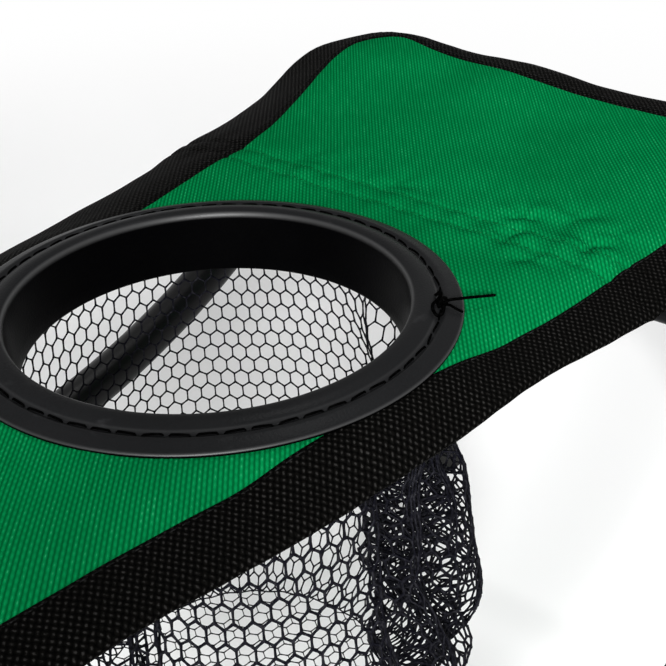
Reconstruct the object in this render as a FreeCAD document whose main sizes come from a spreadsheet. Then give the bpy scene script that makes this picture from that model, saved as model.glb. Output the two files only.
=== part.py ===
import FreeCAD, Part
import os
import re

import Sketcher
from FreeCAD import Placement, Rotation, Vector

# Golf chipping net: a fabric deck with a sewn-in golf-hole cup and ball bag, on a folding tube frame,
# with a hinged hoop that carries a backstop net.  +X points at the player (the wide end of the deck),
# +Z is up.  Everything is laid out from the middle of the cup; "middle_x" then moves the whole model so
# that its origin is the bottom centre of its box.

SIZES = (
    # deck
    ("deck_height", 235, "floor to the top of the deck cloth"),
    ("deck_cloth", 1.2, "thickness of the deck cloth"),
    ("soft_gap", 0.3, "space kept between a soft piece and what it lies on"),
    ("tail_half", 58, "half width of the deck at the rear bar"),
    ("waist_half", 89, "half width of the deck at the cup"),
    ("neck_half", 100.5, "half width of the deck where the flare starts"),
    ("neck_reach", 109, "cup centre to the start of the flare"),
    ("head_half", 121, "half width of the deck at the front bar"),
    ("flare_setback", 19, "front bar's axis to the end of the flare"),
    ("end_lap", 12, "how far the deck reaches past each bar's axis"),
    ("corner_round", 24, "radius of the deck's front corners"),
    ("tail_round", 12, "radius of the deck's rear corners"),
    ("binding_width", 24, "width of the binding tape on the deck's edge"),
    ("binding_cloth", 2.6, "thickness of the folded binding"),
    ("binding_proud", 0.7, "how far the binding stands above the deck cloth"),
    ("pocket_cloth", 0.8, "thickness of the bar pockets"),
    ("front_seam", 85, "cup centre to the seam of the front pocket"),
    ("rear_seam_setback", 40, "rear bar's axis to the seam of the rear pocket"),
    ("front_pocket_half", 94, "half width of the front pocket"),
    ("rear_pocket_half", 50, "half width of the rear pocket"),
    # cup and ball bag
    ("cup_bore", 108, "bore of the cup ring at its rim"),
    ("cup_draft", 1.8, "how far the collar narrows on its way down"),
    ("flange_width", 136, "outer diameter of the ring's flange"),
    ("flange_edge", 1.2, "height of the flange at its outer edge"),
    ("rim_rise", 3.6, "height of the rolled rim above the deck cloth"),
    ("rim_width", 5.7, "width of the rolled rim"),
    ("collar_depth", 15, "deck cloth to the lower edge of the collar"),
    ("collar_wall", 2.2, "wall of the collar"),
    ("stitch_circle", 124, "diameter of the recess for the stitches"),
    ("stitch_recess", 2.2, "width of the recess for the stitches"),
    ("bag_mouth", 132, "diameter of the ball bag at the ring"),
    ("bag_shoulder", 140, "diameter of the ball bag where it starts to widen"),
    ("bag_belly", 156, "widest diameter of the ball bag"),
    ("bag_heel", 138, "diameter of the ball bag where its floor starts to round in"),
    ("bag_floor", 96, "diameter of the ball bag's floor"),
    ("shoulder_depth", 51, "deck cloth to the shoulder of the ball bag"),
    ("belly_rise", 38, "floor of the ball bag to its belly"),
    ("heel_rise", 10, "floor of the ball bag to its heel"),
    ("bag_depth", 145, "deck cloth to the ball bag's floor"),
    ("bag_cloth", 0.8, "thickness of the ball bag as a solid"),
    # tube frame
    ("half_span", 205, "cup centre to the axis of each end bar"),
    ("rail_spread", 117, "middle plane to the ends of each side rail's axis"),
    ("rail_drop", 95, "rail's ends to the lowest point of its bow, in the rail's own plane"),
    ("rail_splay_angle", 5.5, "angle at which the rails' planes spread downwards, in degrees"),
    ("rail_lead", 34, "straight run at each end of a rail"),
    ("tube_width", 16, "diameter of bars and rails"),
    ("tube_wall", 1.5, "wall of bars and rails"),
    ("neck_length", 15, "corner centre to the end of a rail"),
    ("spigot_length", 15, "length of a corner's spigot inside a tube"),
    ("spigot_play", 0.1, "gap round a spigot"),
    ("corner_skin", 0.25, "how far a corner stands proud of a tube"),
    ("corner_swell", 0.6, "how far the ball of a corner stands proud of its necks"),
    # legs
    ("leg_spread", 97, "middle plane to the axis of each leg"),
    ("leg_width", 14, "diameter of a leg"),
    ("leg_wall", 1.5, "wall of a leg"),
    ("leg_splay_angle", 12, "angle of the legs from upright, in degrees"),
    ("leg_drop", 29, "bar axis to the legs' hinge axis"),
    ("leg_head", 9.5, "hinge axis to the top of a leg tube"),
    ("brace_drop", 50, "hinge axis to the brace, along the leg"),
    ("brace_width", 9, "diameter of a brace"),
    ("plug_cap", 1.6, "thickness of a leg plug's cap"),
    ("plug_reach", 4.5, "depth of a leg plug inside its tube"),
    ("boot_width", 24, "diameter of a rubber foot at the floor"),
    ("boot_neck", 19, "diameter of a rubber foot at its top"),
    ("boot_height", 26, "height of a rubber foot along its leg"),
    ("boot_sole", 5, "rubber under the end of a leg, along the leg"),
    # hinges
    ("pin_width", 6, "diameter of the hinge rivets"),
    ("pin_play", 0.1, "gap round a rivet in the piece that turns on it"),
    ("pin_fit", 0.05, "gap round a rivet in the piece that grips it"),
    ("pin_head", 2, "height of a rivet head"),
    ("head_width", 11, "diameter of a rivet head"),
    ("lug_thickness", 6, "thickness of a corner's leg lug"),
    ("lug_width", 18, "width of a corner's leg lug"),
    ("side_play", 0.4, "gap beside a piece in its hinge"),
    # backstop
    ("hinge_rise", 22, "bar axis to the hoop's hinge axis"),
    ("hoop_lean_angle", 12, "angle of the hoop from upright, in degrees"),
    ("hoop_radius", 205, "radius of the hoop rod's bend"),
    ("hoop_lead", 26, "eye's elbow to the start of the hoop's bend"),
    ("rod_width", 8, "diameter of the hoop rod"),
    ("rod_start", 6, "eye's elbow to the end of the rod in its socket"),
    ("rod_fit", 0.05, "gap round the rod in its eye"),
    ("eye_width", 16, "diameter of a hoop eye"),
    ("eye_rise", 20, "hinge axis to the eye's elbow"),
    ("eye_thickness", 8.4, "thickness of a hoop eye"),
    ("eye_socket", 13, "diameter of a hoop eye's socket"),
    ("ear_thickness", 5.5, "thickness of a hoop ear on a rear corner"),
    ("sleeve_play", 0.3, "gap between the hoop rod and its sleeve"),
    ("sleeve_cloth", 0.8, "thickness of the hoop sleeve"),
    ("sleeve_end_angle", 9, "degrees of the bend left bare at each end"),
    ("net_bulge", 60, "depth of the backstop net behind the hoop"),
    ("net_flank", 0.72, "share of the net's radius at its flank"),
    ("flank_depth", 0.6, "share of the net's depth at its flank"),
    ("net_crown", 0.36, "share of the net's radius at which its back flattens"),
    ("crown_depth", 0.94, "share of the net's depth at its crown"),
    ("grid_pitch", 43, "spacing of the openings that stand for the net's mesh"),
    ("grid_web", 7, "width of net left between two openings"),
    ("hem_rise", 8, "start of the hoop's bend to the floor of the net"),
    ("strap_width", 10, "width of the hem strap"),
    ("strap_cloth", 1.2, "thickness of the hem strap"),
    ("net_cloth", 0.8, "thickness of the backstop net as a solid"),
    # place of the origin, worked out below
    ("middle_x", 0, "middle of the whole box, from the cup centre"),
)

doc = FreeCAD.newDocument("ChippingNet")
sheet = doc.addObject("Spreadsheet::Sheet", "Sizes")
for row, (alias, number, meaning) in enumerate(SIZES, start=1):
    sheet.set(f"A{row}", alias)
    sheet.set(f"B{row}", str(number))
    sheet.set(f"C{row}", meaning)
    sheet.setAlias(f"B{row}", alias)
doc.recompute()

ALIASES = re.compile(r"\b(" + "|".join(alias for alias, _, _ in SIZES) + r")\b")

# Heights and radii that several pieces share, as formulas of the sizes.
BAR_Z = ("(deck_height + binding_proud - binding_cloth - soft_gap"
         " - tube_width / 2 - soft_gap - pocket_cloth)")
LEG_Z = f"({BAR_Z} - leg_drop)"
HOOP_Z = f"({BAR_Z} + hinge_rise)"
CORNER_RADIUS = "(tube_width / 2 + corner_skin)"
SPIGOT_RADIUS = "(tube_width / 2 - tube_wall - spigot_play)"
RAIL_HALF_TURN = "(2 * atan(rail_drop / (half_span + rail_lead)))"
HOOP_FLARE = ("(asin(rail_spread / sqrt(hoop_radius ^ 2 + hoop_lead ^ 2))"
              " + atan(hoop_lead / hoop_radius))")
BEND_START = f"(eye_rise + hoop_lead * sin{HOOP_FLARE})"
HOOP_CENTRE = f"({BEND_START} + hoop_radius * cos{HOOP_FLARE})"
NET_HEM = f"({BEND_START} + hem_rise)"
NET_EDGE = "(hoop_radius - (rod_width / 2 + sleeve_play + sleeve_cloth) / cos(30deg) - soft_gap)"
LUG_Y = "(leg_spread + leg_width / 2 + side_play)"
LEG_LENGTH = f"({LEG_Z} / cos(leg_splay_angle * 1deg))"

parts = []


def linked(formula):
    """Write a formula of the sizes as an expression that any object can hold."""
    return ALIASES.sub(r"Sizes.\1", formula)


def value(formula):
    """Work a formula out with the sizes as they stand."""
    result = sheet.evalExpression(linked(formula))
    return float(getattr(result, "Value", result))


def bind(thing, **formulas):
    for name, formula in formulas.items():
        thing.setExpression(name, linked(formula))


def place(thing, x="0", y="0", z="0", turn_axis=(0, 0, 1), turn="0", whole=False):
    """Put an object at x, y, z, turned by so many degrees; a whole piece also moves by middle_x."""
    thing.Placement = Placement(Vector(), Rotation(Vector(*turn_axis), 1))
    if whole:
        x = f"{x} - middle_x"
    thing.setExpression("Placement.Base.x", linked(x))
    thing.setExpression("Placement.Base.y", linked(y))
    thing.setExpression("Placement.Base.z", linked(z))
    thing.setExpression("Placement.Rotation.Angle", linked(f"({turn}) * 1deg"))
    return thing


def finished(thing, label):
    """List an object as one of the part's pieces."""
    thing.Label = label
    parts.append(thing)
    return thing


# --- PartDesign helpers -------------------------------------------------------------------------------

def origin_plane(body, role):
    return next(f for f in body.Origin.OriginFeatures if f.Role == role)


def new_sketch(body, role):
    sketch = body.newObject("Sketcher::SketchObject", "Sketch")
    sketch.AttachmentSupport = [(origin_plane(body, role), "")]
    sketch.MapMode = "FlatFace"
    return sketch


def pin_point(sketch, index, end, u, v):
    """Hold a point of the sketch at u, v from the sketch's origin."""
    for kind, formula in (("DistanceX", u), ("DistanceY", v)):
        held = sketch.addConstraint(Sketcher.Constraint(kind, -1, 1, index, end, value(formula)))
        sketch.setExpression(f"Constraints[{held}]", linked(formula))


def add_outline(sketch, corners):
    """Draw a closed outline of straight lines through corners given as formulas."""
    first = sketch.GeometryCount
    spots = [Vector(value(u), value(v), 0) for u, v in corners]
    count = len(spots)
    for i, spot in enumerate(spots):
        sketch.addGeometry(Part.LineSegment(spot, spots[(i + 1) % count]))
    for i, (u, v) in enumerate(corners):
        sketch.addConstraint(
            Sketcher.Constraint("Coincident", first + i, 2, first + (i + 1) % count, 1))
        pin_point(sketch, first + i, 1, u, v)


def add_circle(sketch, radius, u="0", v="0"):
    index = sketch.addGeometry(Part.Circle(Vector(value(u), value(v), 0), Vector(0, 0, 1), value(radius)))
    pin_point(sketch, index, 3, u, v)
    held = sketch.addConstraint(Sketcher.Constraint("Radius", index, value(radius)))
    sketch.setExpression(f"Constraints[{held}]", linked(radius))


def pad(body, sketch, length, both_ways=False):
    feature = body.newObject("PartDesign::Pad", "Pad")
    feature.Profile = sketch
    feature.Midplane = both_ways
    bind(feature, Length=length)
    body.Tip = feature


def cut_through(body, sketch):
    """Pocket a sketch right through the body, both ways."""
    doc.recompute()
    before = body.Shape.Volume
    feature = body.newObject("PartDesign::Pocket", "Pocket")
    feature.Profile = sketch
    feature.Type = "ThroughAll"
    feature.Midplane = True
    body.Tip = feature
    doc.recompute()
    assert body.Shape.Volume < before, f"{body.Label}: the pocket cut nothing"


def revolve(body, sketch, hub=None, angle="360"):
    """Turn a sketch about the body's Z axis, or about a level line of the sketch at the height hub."""
    axis = (origin_plane(body, "Z_Axis"), [""])
    if hub is not None:
        level = value(hub)
        line = sketch.addGeometry(Part.LineSegment(Vector(-1, level, 0), Vector(1, level, 0)), True)
        pin_point(sketch, line, 1, "-1", hub)
        pin_point(sketch, line, 2, "1", hub)
        axis = (sketch, ["Axis0"])
    feature = body.newObject("PartDesign::Revolution", "Revolution")
    feature.Profile = sketch
    feature.ReferenceAxis = axis
    feature.Midplane = True
    bind(feature, Angle=angle)
    body.Tip = feature


def round_edges(body, chosen, radius):
    """Fillet the edges that the test picks from the body's last feature."""
    doc.recompute()
    base = body.Tip
    names = [f"Edge{i}" for i, edge in enumerate(base.Shape.Edges, start=1) if chosen(edge)]
    feature = body.newObject("PartDesign::Fillet", "Fillet")
    feature.Base = (base, names)
    bind(feature, Radius=radius)
    body.Tip = feature


def new_body(label):
    body = doc.addObject("PartDesign::Body", label)
    body.Label = label
    return body


# --- Part helpers -------------------------------------------------------------------------------------

ALONG_Y = dict(turn_axis=(1, 0, 0), turn="-90")


def cylinder(radius, height, **spot):
    solid = doc.addObject("Part::Cylinder", "Cylinder")
    bind(solid, Radius=radius, Height=height)
    return place(solid, **spot)


def sphere(radius, **spot):
    solid = doc.addObject("Part::Sphere", "Sphere")
    bind(solid, Radius=radius)
    return place(solid, **spot)


def cone(bottom, top, height, **spot):
    solid = doc.addObject("Part::Cone", "Cone")
    bind(solid, Radius1=bottom, Radius2=top, Height=height)
    return place(solid, **spot)


def block(length, width, height, **spot):
    solid = doc.addObject("Part::Box", "Box")
    bind(solid, Length=length, Width=width, Height=height)
    return place(solid, **spot)


def fuse(solids):
    joined = doc.addObject("Part::MultiFuse", "Fuse")
    joined.Shapes = solids
    joined.Refine = True
    return joined


def cut(solid, tools):
    left = doc.addObject("Part::Cut", "Cut")
    left.Base = solid
    left.Tool = tools[0] if len(tools) == 1 else fuse(tools)
    left.Refine = True
    return left


# --- deck ---------------------------------------------------------------------------------------------

def deck_outline(inset):
    """Half outline of the deck, tail to head, moved inwards, then its mirror image back."""
    one_side = [
        (f"-(half_span + end_lap - {inset})", f"tail_half - {inset}"),
        ("0", f"waist_half - {inset}"),
        ("neck_reach", f"neck_half - {inset}"),
        (f"half_span - flare_setback - {inset} / 2", f"head_half - {inset}"),
        (f"half_span + end_lap - {inset}", f"head_half - {inset}"),
    ]
    return one_side + [(u, f"-({v})") for u, v in reversed(one_side)]


def is_upright(edge):
    return abs(edge.tangentAt(edge.FirstParameter).z) > 0.99


def at_head(edge):
    return edge.CenterOfMass.x > value("half_span + end_lap - binding_width - 1")


def at_tail(edge):
    return edge.CenterOfMass.x < -value("half_span - binding_width - end_lap")


def make_deck_plate(label, inset, thickness, top):
    body = new_body(label)
    sketch = new_sketch(body, "XY_Plane")
    add_outline(sketch, deck_outline(inset))
    pad(body, sketch, thickness)
    round_edges(body, lambda e: is_upright(e) and at_head(e), f"corner_round - {inset} / 2")
    round_edges(body, lambda e: is_upright(e) and at_tail(e), f"tail_round - {inset} / 3")
    place(body, z=f"{top} - ({thickness})", whole=True)
    return body


def make_target_band():
    body = make_deck_plate("target_band", "binding_width", "deck_cloth", "deck_height")
    hole = new_sketch(body, "XY_Plane")
    add_circle(hole, "cup_bore / 2 + collar_wall + soft_gap")
    cut_through(body, hole)
    finished(body, "target_band")


def make_band_binding():
    body = make_deck_plate("binding_outside", "0", "binding_cloth", "deck_height + binding_proud")
    inner = make_deck_plate("binding_inside", "binding_width", "binding_cloth",
                            "deck_height + binding_proud")
    clear = cylinder("flange_width / 2 + soft_gap", "binding_proud + deck_cloth", x="-middle_x",
                     z="deck_height - deck_cloth")
    finished(cut(body, [inner, clear]), "band_binding")


def make_pocket(label, front, seam, half_width):
    """A cloth loop round an end bar whose tail is sewn up to the deck at the seam."""
    way = "" if front else "-"
    inner = "(tube_width / 2 + soft_gap)"
    outer = "(tube_width / 2 + soft_gap + pocket_cloth)"
    seam_z = "(deck_height + binding_proud - binding_cloth - soft_gap)"
    loop = cylinder(outer, f"2 * {half_width}", x=f"{way}half_span", y=f"-{half_width}", z=BAR_Z, **ALONG_Y)
    bore = cylinder(inner, f"2 * {half_width}", x=f"{way}half_span", y=f"-{half_width}", z=BAR_Z, **ALONG_Y)
    tail = new_body(label + "_tail")
    sketch = new_sketch(tail, "XZ_Plane")
    add_outline(sketch, [
        (f"{way}({seam})", f"{seam_z} - {BAR_Z}"),
        (f"{way}({seam})", f"{seam_z} - pocket_cloth - {BAR_Z}"),
        (f"{way}half_span", f"-{outer}"),
        (f"{way}half_span", f"-{outer} + pocket_cloth"),
    ])
    pad(tail, sketch, f"2 * {half_width}", both_ways=True)
    place(tail, z=BAR_Z)
    pocket = cut(fuse([loop, tail]), [bore])
    place(pocket, whole=True)
    finished(pocket, label)


# --- cup ring and ball bag ----------------------------------------------------------------------------

def make_cup_ring():
    """A domed sewing flange with a rolled rim and a collar that narrows downwards."""
    rim = "cup_bore / 2"
    wall = "collar_wall"
    body = new_body("cup_ring")
    sketch = new_sketch(body, "XZ_Plane")
    add_outline(sketch, [
        ("flange_width / 2", "0"),
        ("flange_width / 2", "flange_edge"),
        (f"{rim} + rim_width", "rim_rise"),
        (f"{rim} + {wall} / 2", "rim_rise"),
        (rim, f"rim_rise - {wall} / 2"),
        (f"{rim} - cup_draft", "-collar_depth"),
        (f"{rim} - cup_draft + {wall}", "-collar_depth"),
        (f"{rim} + {wall}", "0"),
    ])
    revolve(body, sketch)
    round_edges(body, lambda e: abs(e.BoundBox.ZMin - value(f"rim_rise")) < 0.01, "rim_rise / 4")
    doc.recompute()
    recess = new_sketch(body, "XZ_Plane")
    half = "stitch_recess / 2"
    add_outline(recess, [
        (f"stitch_circle / 2 - {half}", "rim_rise * 2"),
        (f"stitch_circle / 2 + {half}", "rim_rise * 2"),
        ("stitch_circle / 2", "rim_rise / 2"),
    ])
    groove = body.newObject("PartDesign::Groove", "Groove")
    groove.Profile = recess
    groove.ReferenceAxis = (origin_plane(body, "Z_Axis"), [""])
    groove.Angle = 360
    body.Tip = groove
    place(body, z="deck_height", whole=True)
    finished(body, "cup_ring")


def make_ball_bag():
    """The knitted bag under the cup, as a thin shell that is open at the top."""
    top = "-(binding_cloth - binding_proud + soft_gap)"
    shape = [
        ("bag_mouth / 2", top),
        ("bag_shoulder / 2", "-shoulder_depth"),
        ("bag_belly / 2", "belly_rise - bag_depth"),
        ("bag_heel / 2", "heel_rise - bag_depth"),
        ("bag_floor / 2", "-bag_depth"),
        ("0", "-bag_depth"),
    ]
    inside = [(f"{u} - bag_cloth", v) for u, v in shape[:-2]]
    inside += [(f"{shape[-2][0]} - bag_cloth", "-bag_depth + bag_cloth"), ("0", "-bag_depth + bag_cloth")]
    body = new_body("ball_net")
    sketch = new_sketch(body, "XZ_Plane")
    add_outline(sketch, shape + list(reversed(inside)))
    revolve(body, sketch)
    place(body, z="deck_height", whole=True)
    finished(body, "ball_net")


# --- tube frame ---------------------------------------------------------------------------------------

def make_bar(label, x):
    """A straight end bar; its ends slip over the corners' spigots."""
    body = new_body(label)
    sketch = new_sketch(body, "XZ_Plane")
    add_circle(sketch, "tube_width / 2")
    add_circle(sketch, "tube_width / 2 - tube_wall")
    pad(body, sketch, f"2 * {LUG_Y}", both_ways=True)
    place(body, x=x, z=BAR_Z, whole=True)
    finished(body, label)


def make_rail(label, side):
    """A side rail that bows down between the two ends of the frame, with a straight run at each end."""
    turn = RAIL_HALF_TURN
    radius = f"((half_span - rail_lead * cos{turn}) / sin{turn})"
    bend = new_body(label + "_bend")
    sketch = new_sketch(bend, "YZ_Plane")
    add_circle(sketch, "tube_width / 2", v="-rail_drop")
    revolve(bend, sketch, hub=f"{radius} - rail_drop", angle=f"2 * {turn} / 1deg")
    runs = []
    sockets = []
    for way in (1, -1):
        heading = dict(turn_axis=(0, 1, 0), turn=f"{way} * (-90 - {turn} / 1deg)")
        runs.append(cylinder("tube_width / 2", "rail_lead - neck_length",
                             x=f"{way} * (half_span - neck_length * cos{turn})",
                             z=f"-neck_length * sin{turn}", **heading))
        sockets.append(cylinder("tube_width / 2 - tube_wall", "neck_length + spigot_length + 1",
                                x=f"{way} * half_span", **heading))
    rail = cut(fuse([bend] + runs), sockets)
    place(rail, y=f"{side} * rail_spread", z=BAR_Z, turn_axis=(1, 0, 0), turn=f"{side} * rail_splay_angle",
          whole=True)
    finished(rail, label)


def hinge_plate(thickness, width, lowest, highest, hinge, y):
    """A plate between two heights with a round end about a hinge axis."""
    web = block(width, thickness, f"{highest} - {lowest}", x=f"-{width} / 2", y=y, z=lowest)
    end = cylinder(f"{width} / 2", thickness, y=y, z=hinge, **ALONG_Y)
    return [web, end]


def make_corner(label, end, side, ears):
    """A moulded corner: spigots for a bar and a rail, a lug for a leg and, at the rear, two hoop ears."""
    turn = RAIL_HALF_TURN
    # The corner is built for the left side; the right side is its mirror image.
    inner_face = f"(rail_spread - {LUG_Y})"
    along_bar = dict(turn_axis=(1, 0, 0), turn="90")
    along_rail = dict(turn_axis=(0, 1, 0), turn=f"{end} * (-90 - {turn} / 1deg)")
    outside = "(side_play + eye_thickness / 2 + ear_thickness)" if ears else "0"
    rail_arm = fuse([
        cylinder(CORNER_RADIUS, "neck_length", **along_rail),
        cylinder(SPIGOT_RADIUS, "neck_length + spigot_length", **along_rail),
    ])
    solids = [
        sphere(f"{CORNER_RADIUS} + corner_swell"),
        cylinder(CORNER_RADIUS, f"{inner_face} + {outside}", y=outside, **along_bar),
        cylinder(SPIGOT_RADIUS, f"{inner_face} + spigot_length", **along_bar),
        place(rail_arm, turn_axis=(1, 0, 0), turn="rail_splay_angle"),
    ]
    solids += hinge_plate("lug_thickness", "lug_width", "(-leg_drop)", "0", "-leg_drop",
                          f"{LUG_Y} - rail_spread")
    holes = [cylinder("pin_width / 2 + pin_play", "lug_thickness * 3",
                      y=f"{LUG_Y} - rail_spread - lug_thickness", z="-leg_drop", **ALONG_Y)]
    if ears:
        for y in ("side_play + eye_thickness / 2", "-(side_play + eye_thickness / 2 + ear_thickness)"):
            solids += hinge_plate("ear_thickness", "eye_width", "0", "hinge_rise", "hinge_rise", y)
        holes.append(cylinder("pin_width / 2 + pin_fit", "rail_spread", y="-rail_spread / 2",
                              z="hinge_rise", **ALONG_Y))
    corner = cut(fuse(solids), holes)
    if side < 0:
        mirror = doc.addObject("Part::Mirroring", "Mirror")
        mirror.Source = corner
        mirror.Normal = Vector(0, 1, 0)
        corner = mirror
    place(corner, x=f"{end} * half_span", y=f"{side} * rail_spread", z=BAR_Z, whole=True)
    finished(corner, label)


# --- legs ---------------------------------------------------------------------------------------------

def leg_frame(end, side):
    """Place of a leg's own frame: its origin on the hinge axis, its -Z along the leg."""
    return dict(x=f"{end} * half_span", y=f"{side} * leg_spread", z=LEG_Z,
                turn_axis=(0, 1, 0), turn=f"{-end} * leg_splay_angle", whole=True)


def make_leg(label, end, side):
    length = f"({LEG_LENGTH} - boot_sole)"
    outer = cylinder("leg_width / 2", f"{length} + leg_head", z=f"-{length}")
    bore = cylinder("leg_width / 2 - leg_wall", f"{length} + leg_head", z=f"-{length}")
    rivet_hole = cylinder("pin_width / 2 + pin_fit", "leg_width * 2", y="-leg_width", **ALONG_Y)
    inward = "-leg_width" if side > 0 else "0"
    brace_hole = cylinder("brace_width / 2 + pin_fit", "leg_width", y=inward, z="-brace_drop", **ALONG_Y)
    leg = cut(outer, [bore, rivet_hole, brace_hole])
    place(leg, **leg_frame(end, side))
    finished(leg, label)


def make_leg_plug(label, end, side):
    cap = cylinder("leg_width / 2", "plug_cap", z="leg_head")
    stem = cylinder("leg_width / 2 - leg_wall - pin_fit", "plug_reach", z="leg_head - plug_reach")
    plug = fuse([cap, stem])
    place(plug, **leg_frame(end, side))
    finished(plug, label)


def make_boot(label, end, side):
    """A tapered rubber foot on the end of a leg, cut level with the floor."""
    lean = dict(turn_axis=(0, 1, 0), turn=f"{-end} * leg_splay_angle")
    below = "boot_width"
    skirt = cone("boot_width / 2", "boot_neck / 2", "boot_height")
    plinth = cylinder("boot_width / 2", below, z=f"-{below}")
    socket = cylinder("leg_width / 2 + spigot_play", "boot_height", z="boot_sole")
    rubber = cut(fuse([skirt, plinth]), [socket])
    place(rubber, **lean)
    ground = block(f"4 * {below}", f"4 * {below}", f"2 * {below}",
                   x=f"-2 * {below}", y=f"-2 * {below}", z=f"-2 * {below}")
    boot = cut(rubber, [ground])
    place(boot, x=f"{end} * (half_span + {LEG_Z} * tan(leg_splay_angle * 1deg))", y=f"{side} * leg_spread",
          whole=True)
    finished(boot, label)


def make_brace(label, end):
    """A crossbar between the two legs of a pair, seated in their inner walls."""
    reach = "(leg_spread - leg_width / 2 + leg_wall)"
    lean = "(leg_splay_angle * 1deg)"
    brace = cylinder("brace_width / 2", f"2 * {reach}", **ALONG_Y)
    place(brace, x=f"{end} * (half_span + brace_drop * sin{lean})", y=f"-{reach}",
          z=f"{LEG_Z} - brace_drop * cos{lean}", whole=True, **ALONG_Y)
    finished(brace, label)


def rivet(inner, outer):
    """A rivet along Y from the face at inner to the face at outer, with a domed head on each."""
    shank = cylinder("pin_width / 2", f"({outer}) - ({inner})", y=inner, **ALONG_Y)
    near = cone("head_width / 2", "head_width / 4", "pin_head", y=inner, turn_axis=(1, 0, 0), turn="90")
    far = cone("head_width / 2", "head_width / 4", "pin_head", y=outer, **ALONG_Y)
    return fuse([shank, near, far])


def make_leg_rivet(label, end, side):
    faces = ("-leg_width / 2", f"{LUG_Y} + lug_thickness - leg_spread + side_play")
    if side < 0:
        faces = (f"-({faces[1]})", f"-({faces[0]})")
    pin = rivet(*faces)
    place(pin, **leg_frame(end, side))
    finished(pin, label)


# --- backstop -----------------------------------------------------------------------------------------

HOOP_FRAME = dict(x="-half_span", z=HOOP_Z, turn_axis=(0, 1, 0), turn="-hoop_lean_angle", whole=True)


def make_hoop_rod():
    """The springy rod of the backstop, bent round into most of a circle."""
    flare = HOOP_FLARE
    bend = new_body("hoop_bend")
    sketch = new_sketch(bend, "XZ_Plane")
    add_circle(sketch, "rod_width / 2", v=f"{HOOP_CENTRE} + hoop_radius")
    revolve(bend, sketch, hub=HOOP_CENTRE, angle=f"2 * (180 - {flare} / 1deg)")
    ends = [cylinder("rod_width / 2", "hoop_lead - rod_start",
                     y=f"{way} * (rail_spread + rod_start * cos{flare})",
                     z=f"eye_rise + rod_start * sin{flare}",
                     turn_axis=(1, 0, 0), turn=f"{way} * ({flare} / 1deg - 90)") for way in (1, -1)]
    rod = fuse([bend] + ends)
    place(rod, **HOOP_FRAME)
    finished(rod, "hoop_rod")


def make_hoop_eye(label, side):
    """A moulded eye: a ring on the hinge rivet, a tab up to an elbow, and a socket that grips the rod."""
    lean = dict(z="eye_rise", turn_axis=(1, 0, 0), turn=f"{side} * ({HOOP_FLARE} / 1deg - 90)")
    half = "eye_thickness / 2"
    solids = [
        cylinder("eye_width / 2", "eye_thickness", y=f"-{half}", **ALONG_Y),
        block("eye_socket", "eye_thickness", "eye_rise", x="-eye_socket / 2", y=f"-{half}"),
        sphere("eye_socket / 2 + corner_swell", z="eye_rise"),
        cylinder("eye_socket / 2", "hoop_lead", **lean),
    ]
    bore = cylinder("rod_width / 2 + rod_fit", "hoop_lead * 2", **lean)
    seat = cylinder("rod_width", "rod_start", **lean)
    rivet_hole = cylinder("pin_width / 2 + pin_play", "eye_width * 2", y="-eye_width", **ALONG_Y)
    eye = cut(fuse(solids), [rivet_hole, cut(bore, [seat])])
    place(eye, **dict(HOOP_FRAME, y=f"{side} * rail_spread"))
    finished(eye, label)


def make_hoop_rivet(label, side):
    half = "(eye_thickness / 2 + side_play + ear_thickness)"
    pin = rivet(f"-{half}", half)
    place(pin, **dict(HOOP_FRAME, y=f"{side} * rail_spread"))
    finished(pin, label)


def make_hoop_sleeve():
    """The cloth channel round the rod, a flat-sided tube sewn along its inner edge."""
    body = new_body("hoop_sleeve")
    sketch = new_sketch(body, "XZ_Plane")
    ring = f"{HOOP_CENTRE} + hoop_radius"
    for grow in ("sleeve_play", "(sleeve_play + sleeve_cloth)"):
        flat = f"(rod_width / 2 + {grow})"
        tip = f"({flat} / cos(30deg))"
        half = f"({flat} * tan(30deg))"
        add_outline(sketch, [
            ("0", f"{ring} + {tip}"), (flat, f"{ring} + {half}"), (flat, f"{ring} - {half}"),
            ("0", f"{ring} - {tip}"), (f"-{flat}", f"{ring} - {half}"), (f"-{flat}", f"{ring} + {half}"),
        ])
    revolve(body, sketch, hub=HOOP_CENTRE,
            angle=f"2 * (180 - {HOOP_FLARE} / 1deg - sleeve_end_angle)")
    place(body, **HOOP_FRAME)
    finished(body, "hoop_sleeve")


def make_bowl(edge, depth, floor):
    """A solid bowl behind the hoop's plane, cut off level at the floor."""
    bowl = new_body("bowl")
    sketch = new_sketch(bowl, "XZ_Plane")
    hub = HOOP_CENTRE
    add_outline(sketch, [
        ("0", hub), ("0", f"{hub} + {edge}"), (f"-{depth} * flank_depth", f"{hub} + {edge} * net_flank"),
        (f"-{depth} * crown_depth", f"{hub} + {edge} * net_crown"), (f"-{depth}", hub),
    ])
    revolve(bowl, sketch, hub=hub)
    below = block("4 * hoop_radius", "4 * hoop_radius", "2 * hoop_radius",
                  x="-2 * hoop_radius", y="-2 * hoop_radius", z=f"{floor} - 2 * hoop_radius")
    return cut(bowl, [below])


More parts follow.
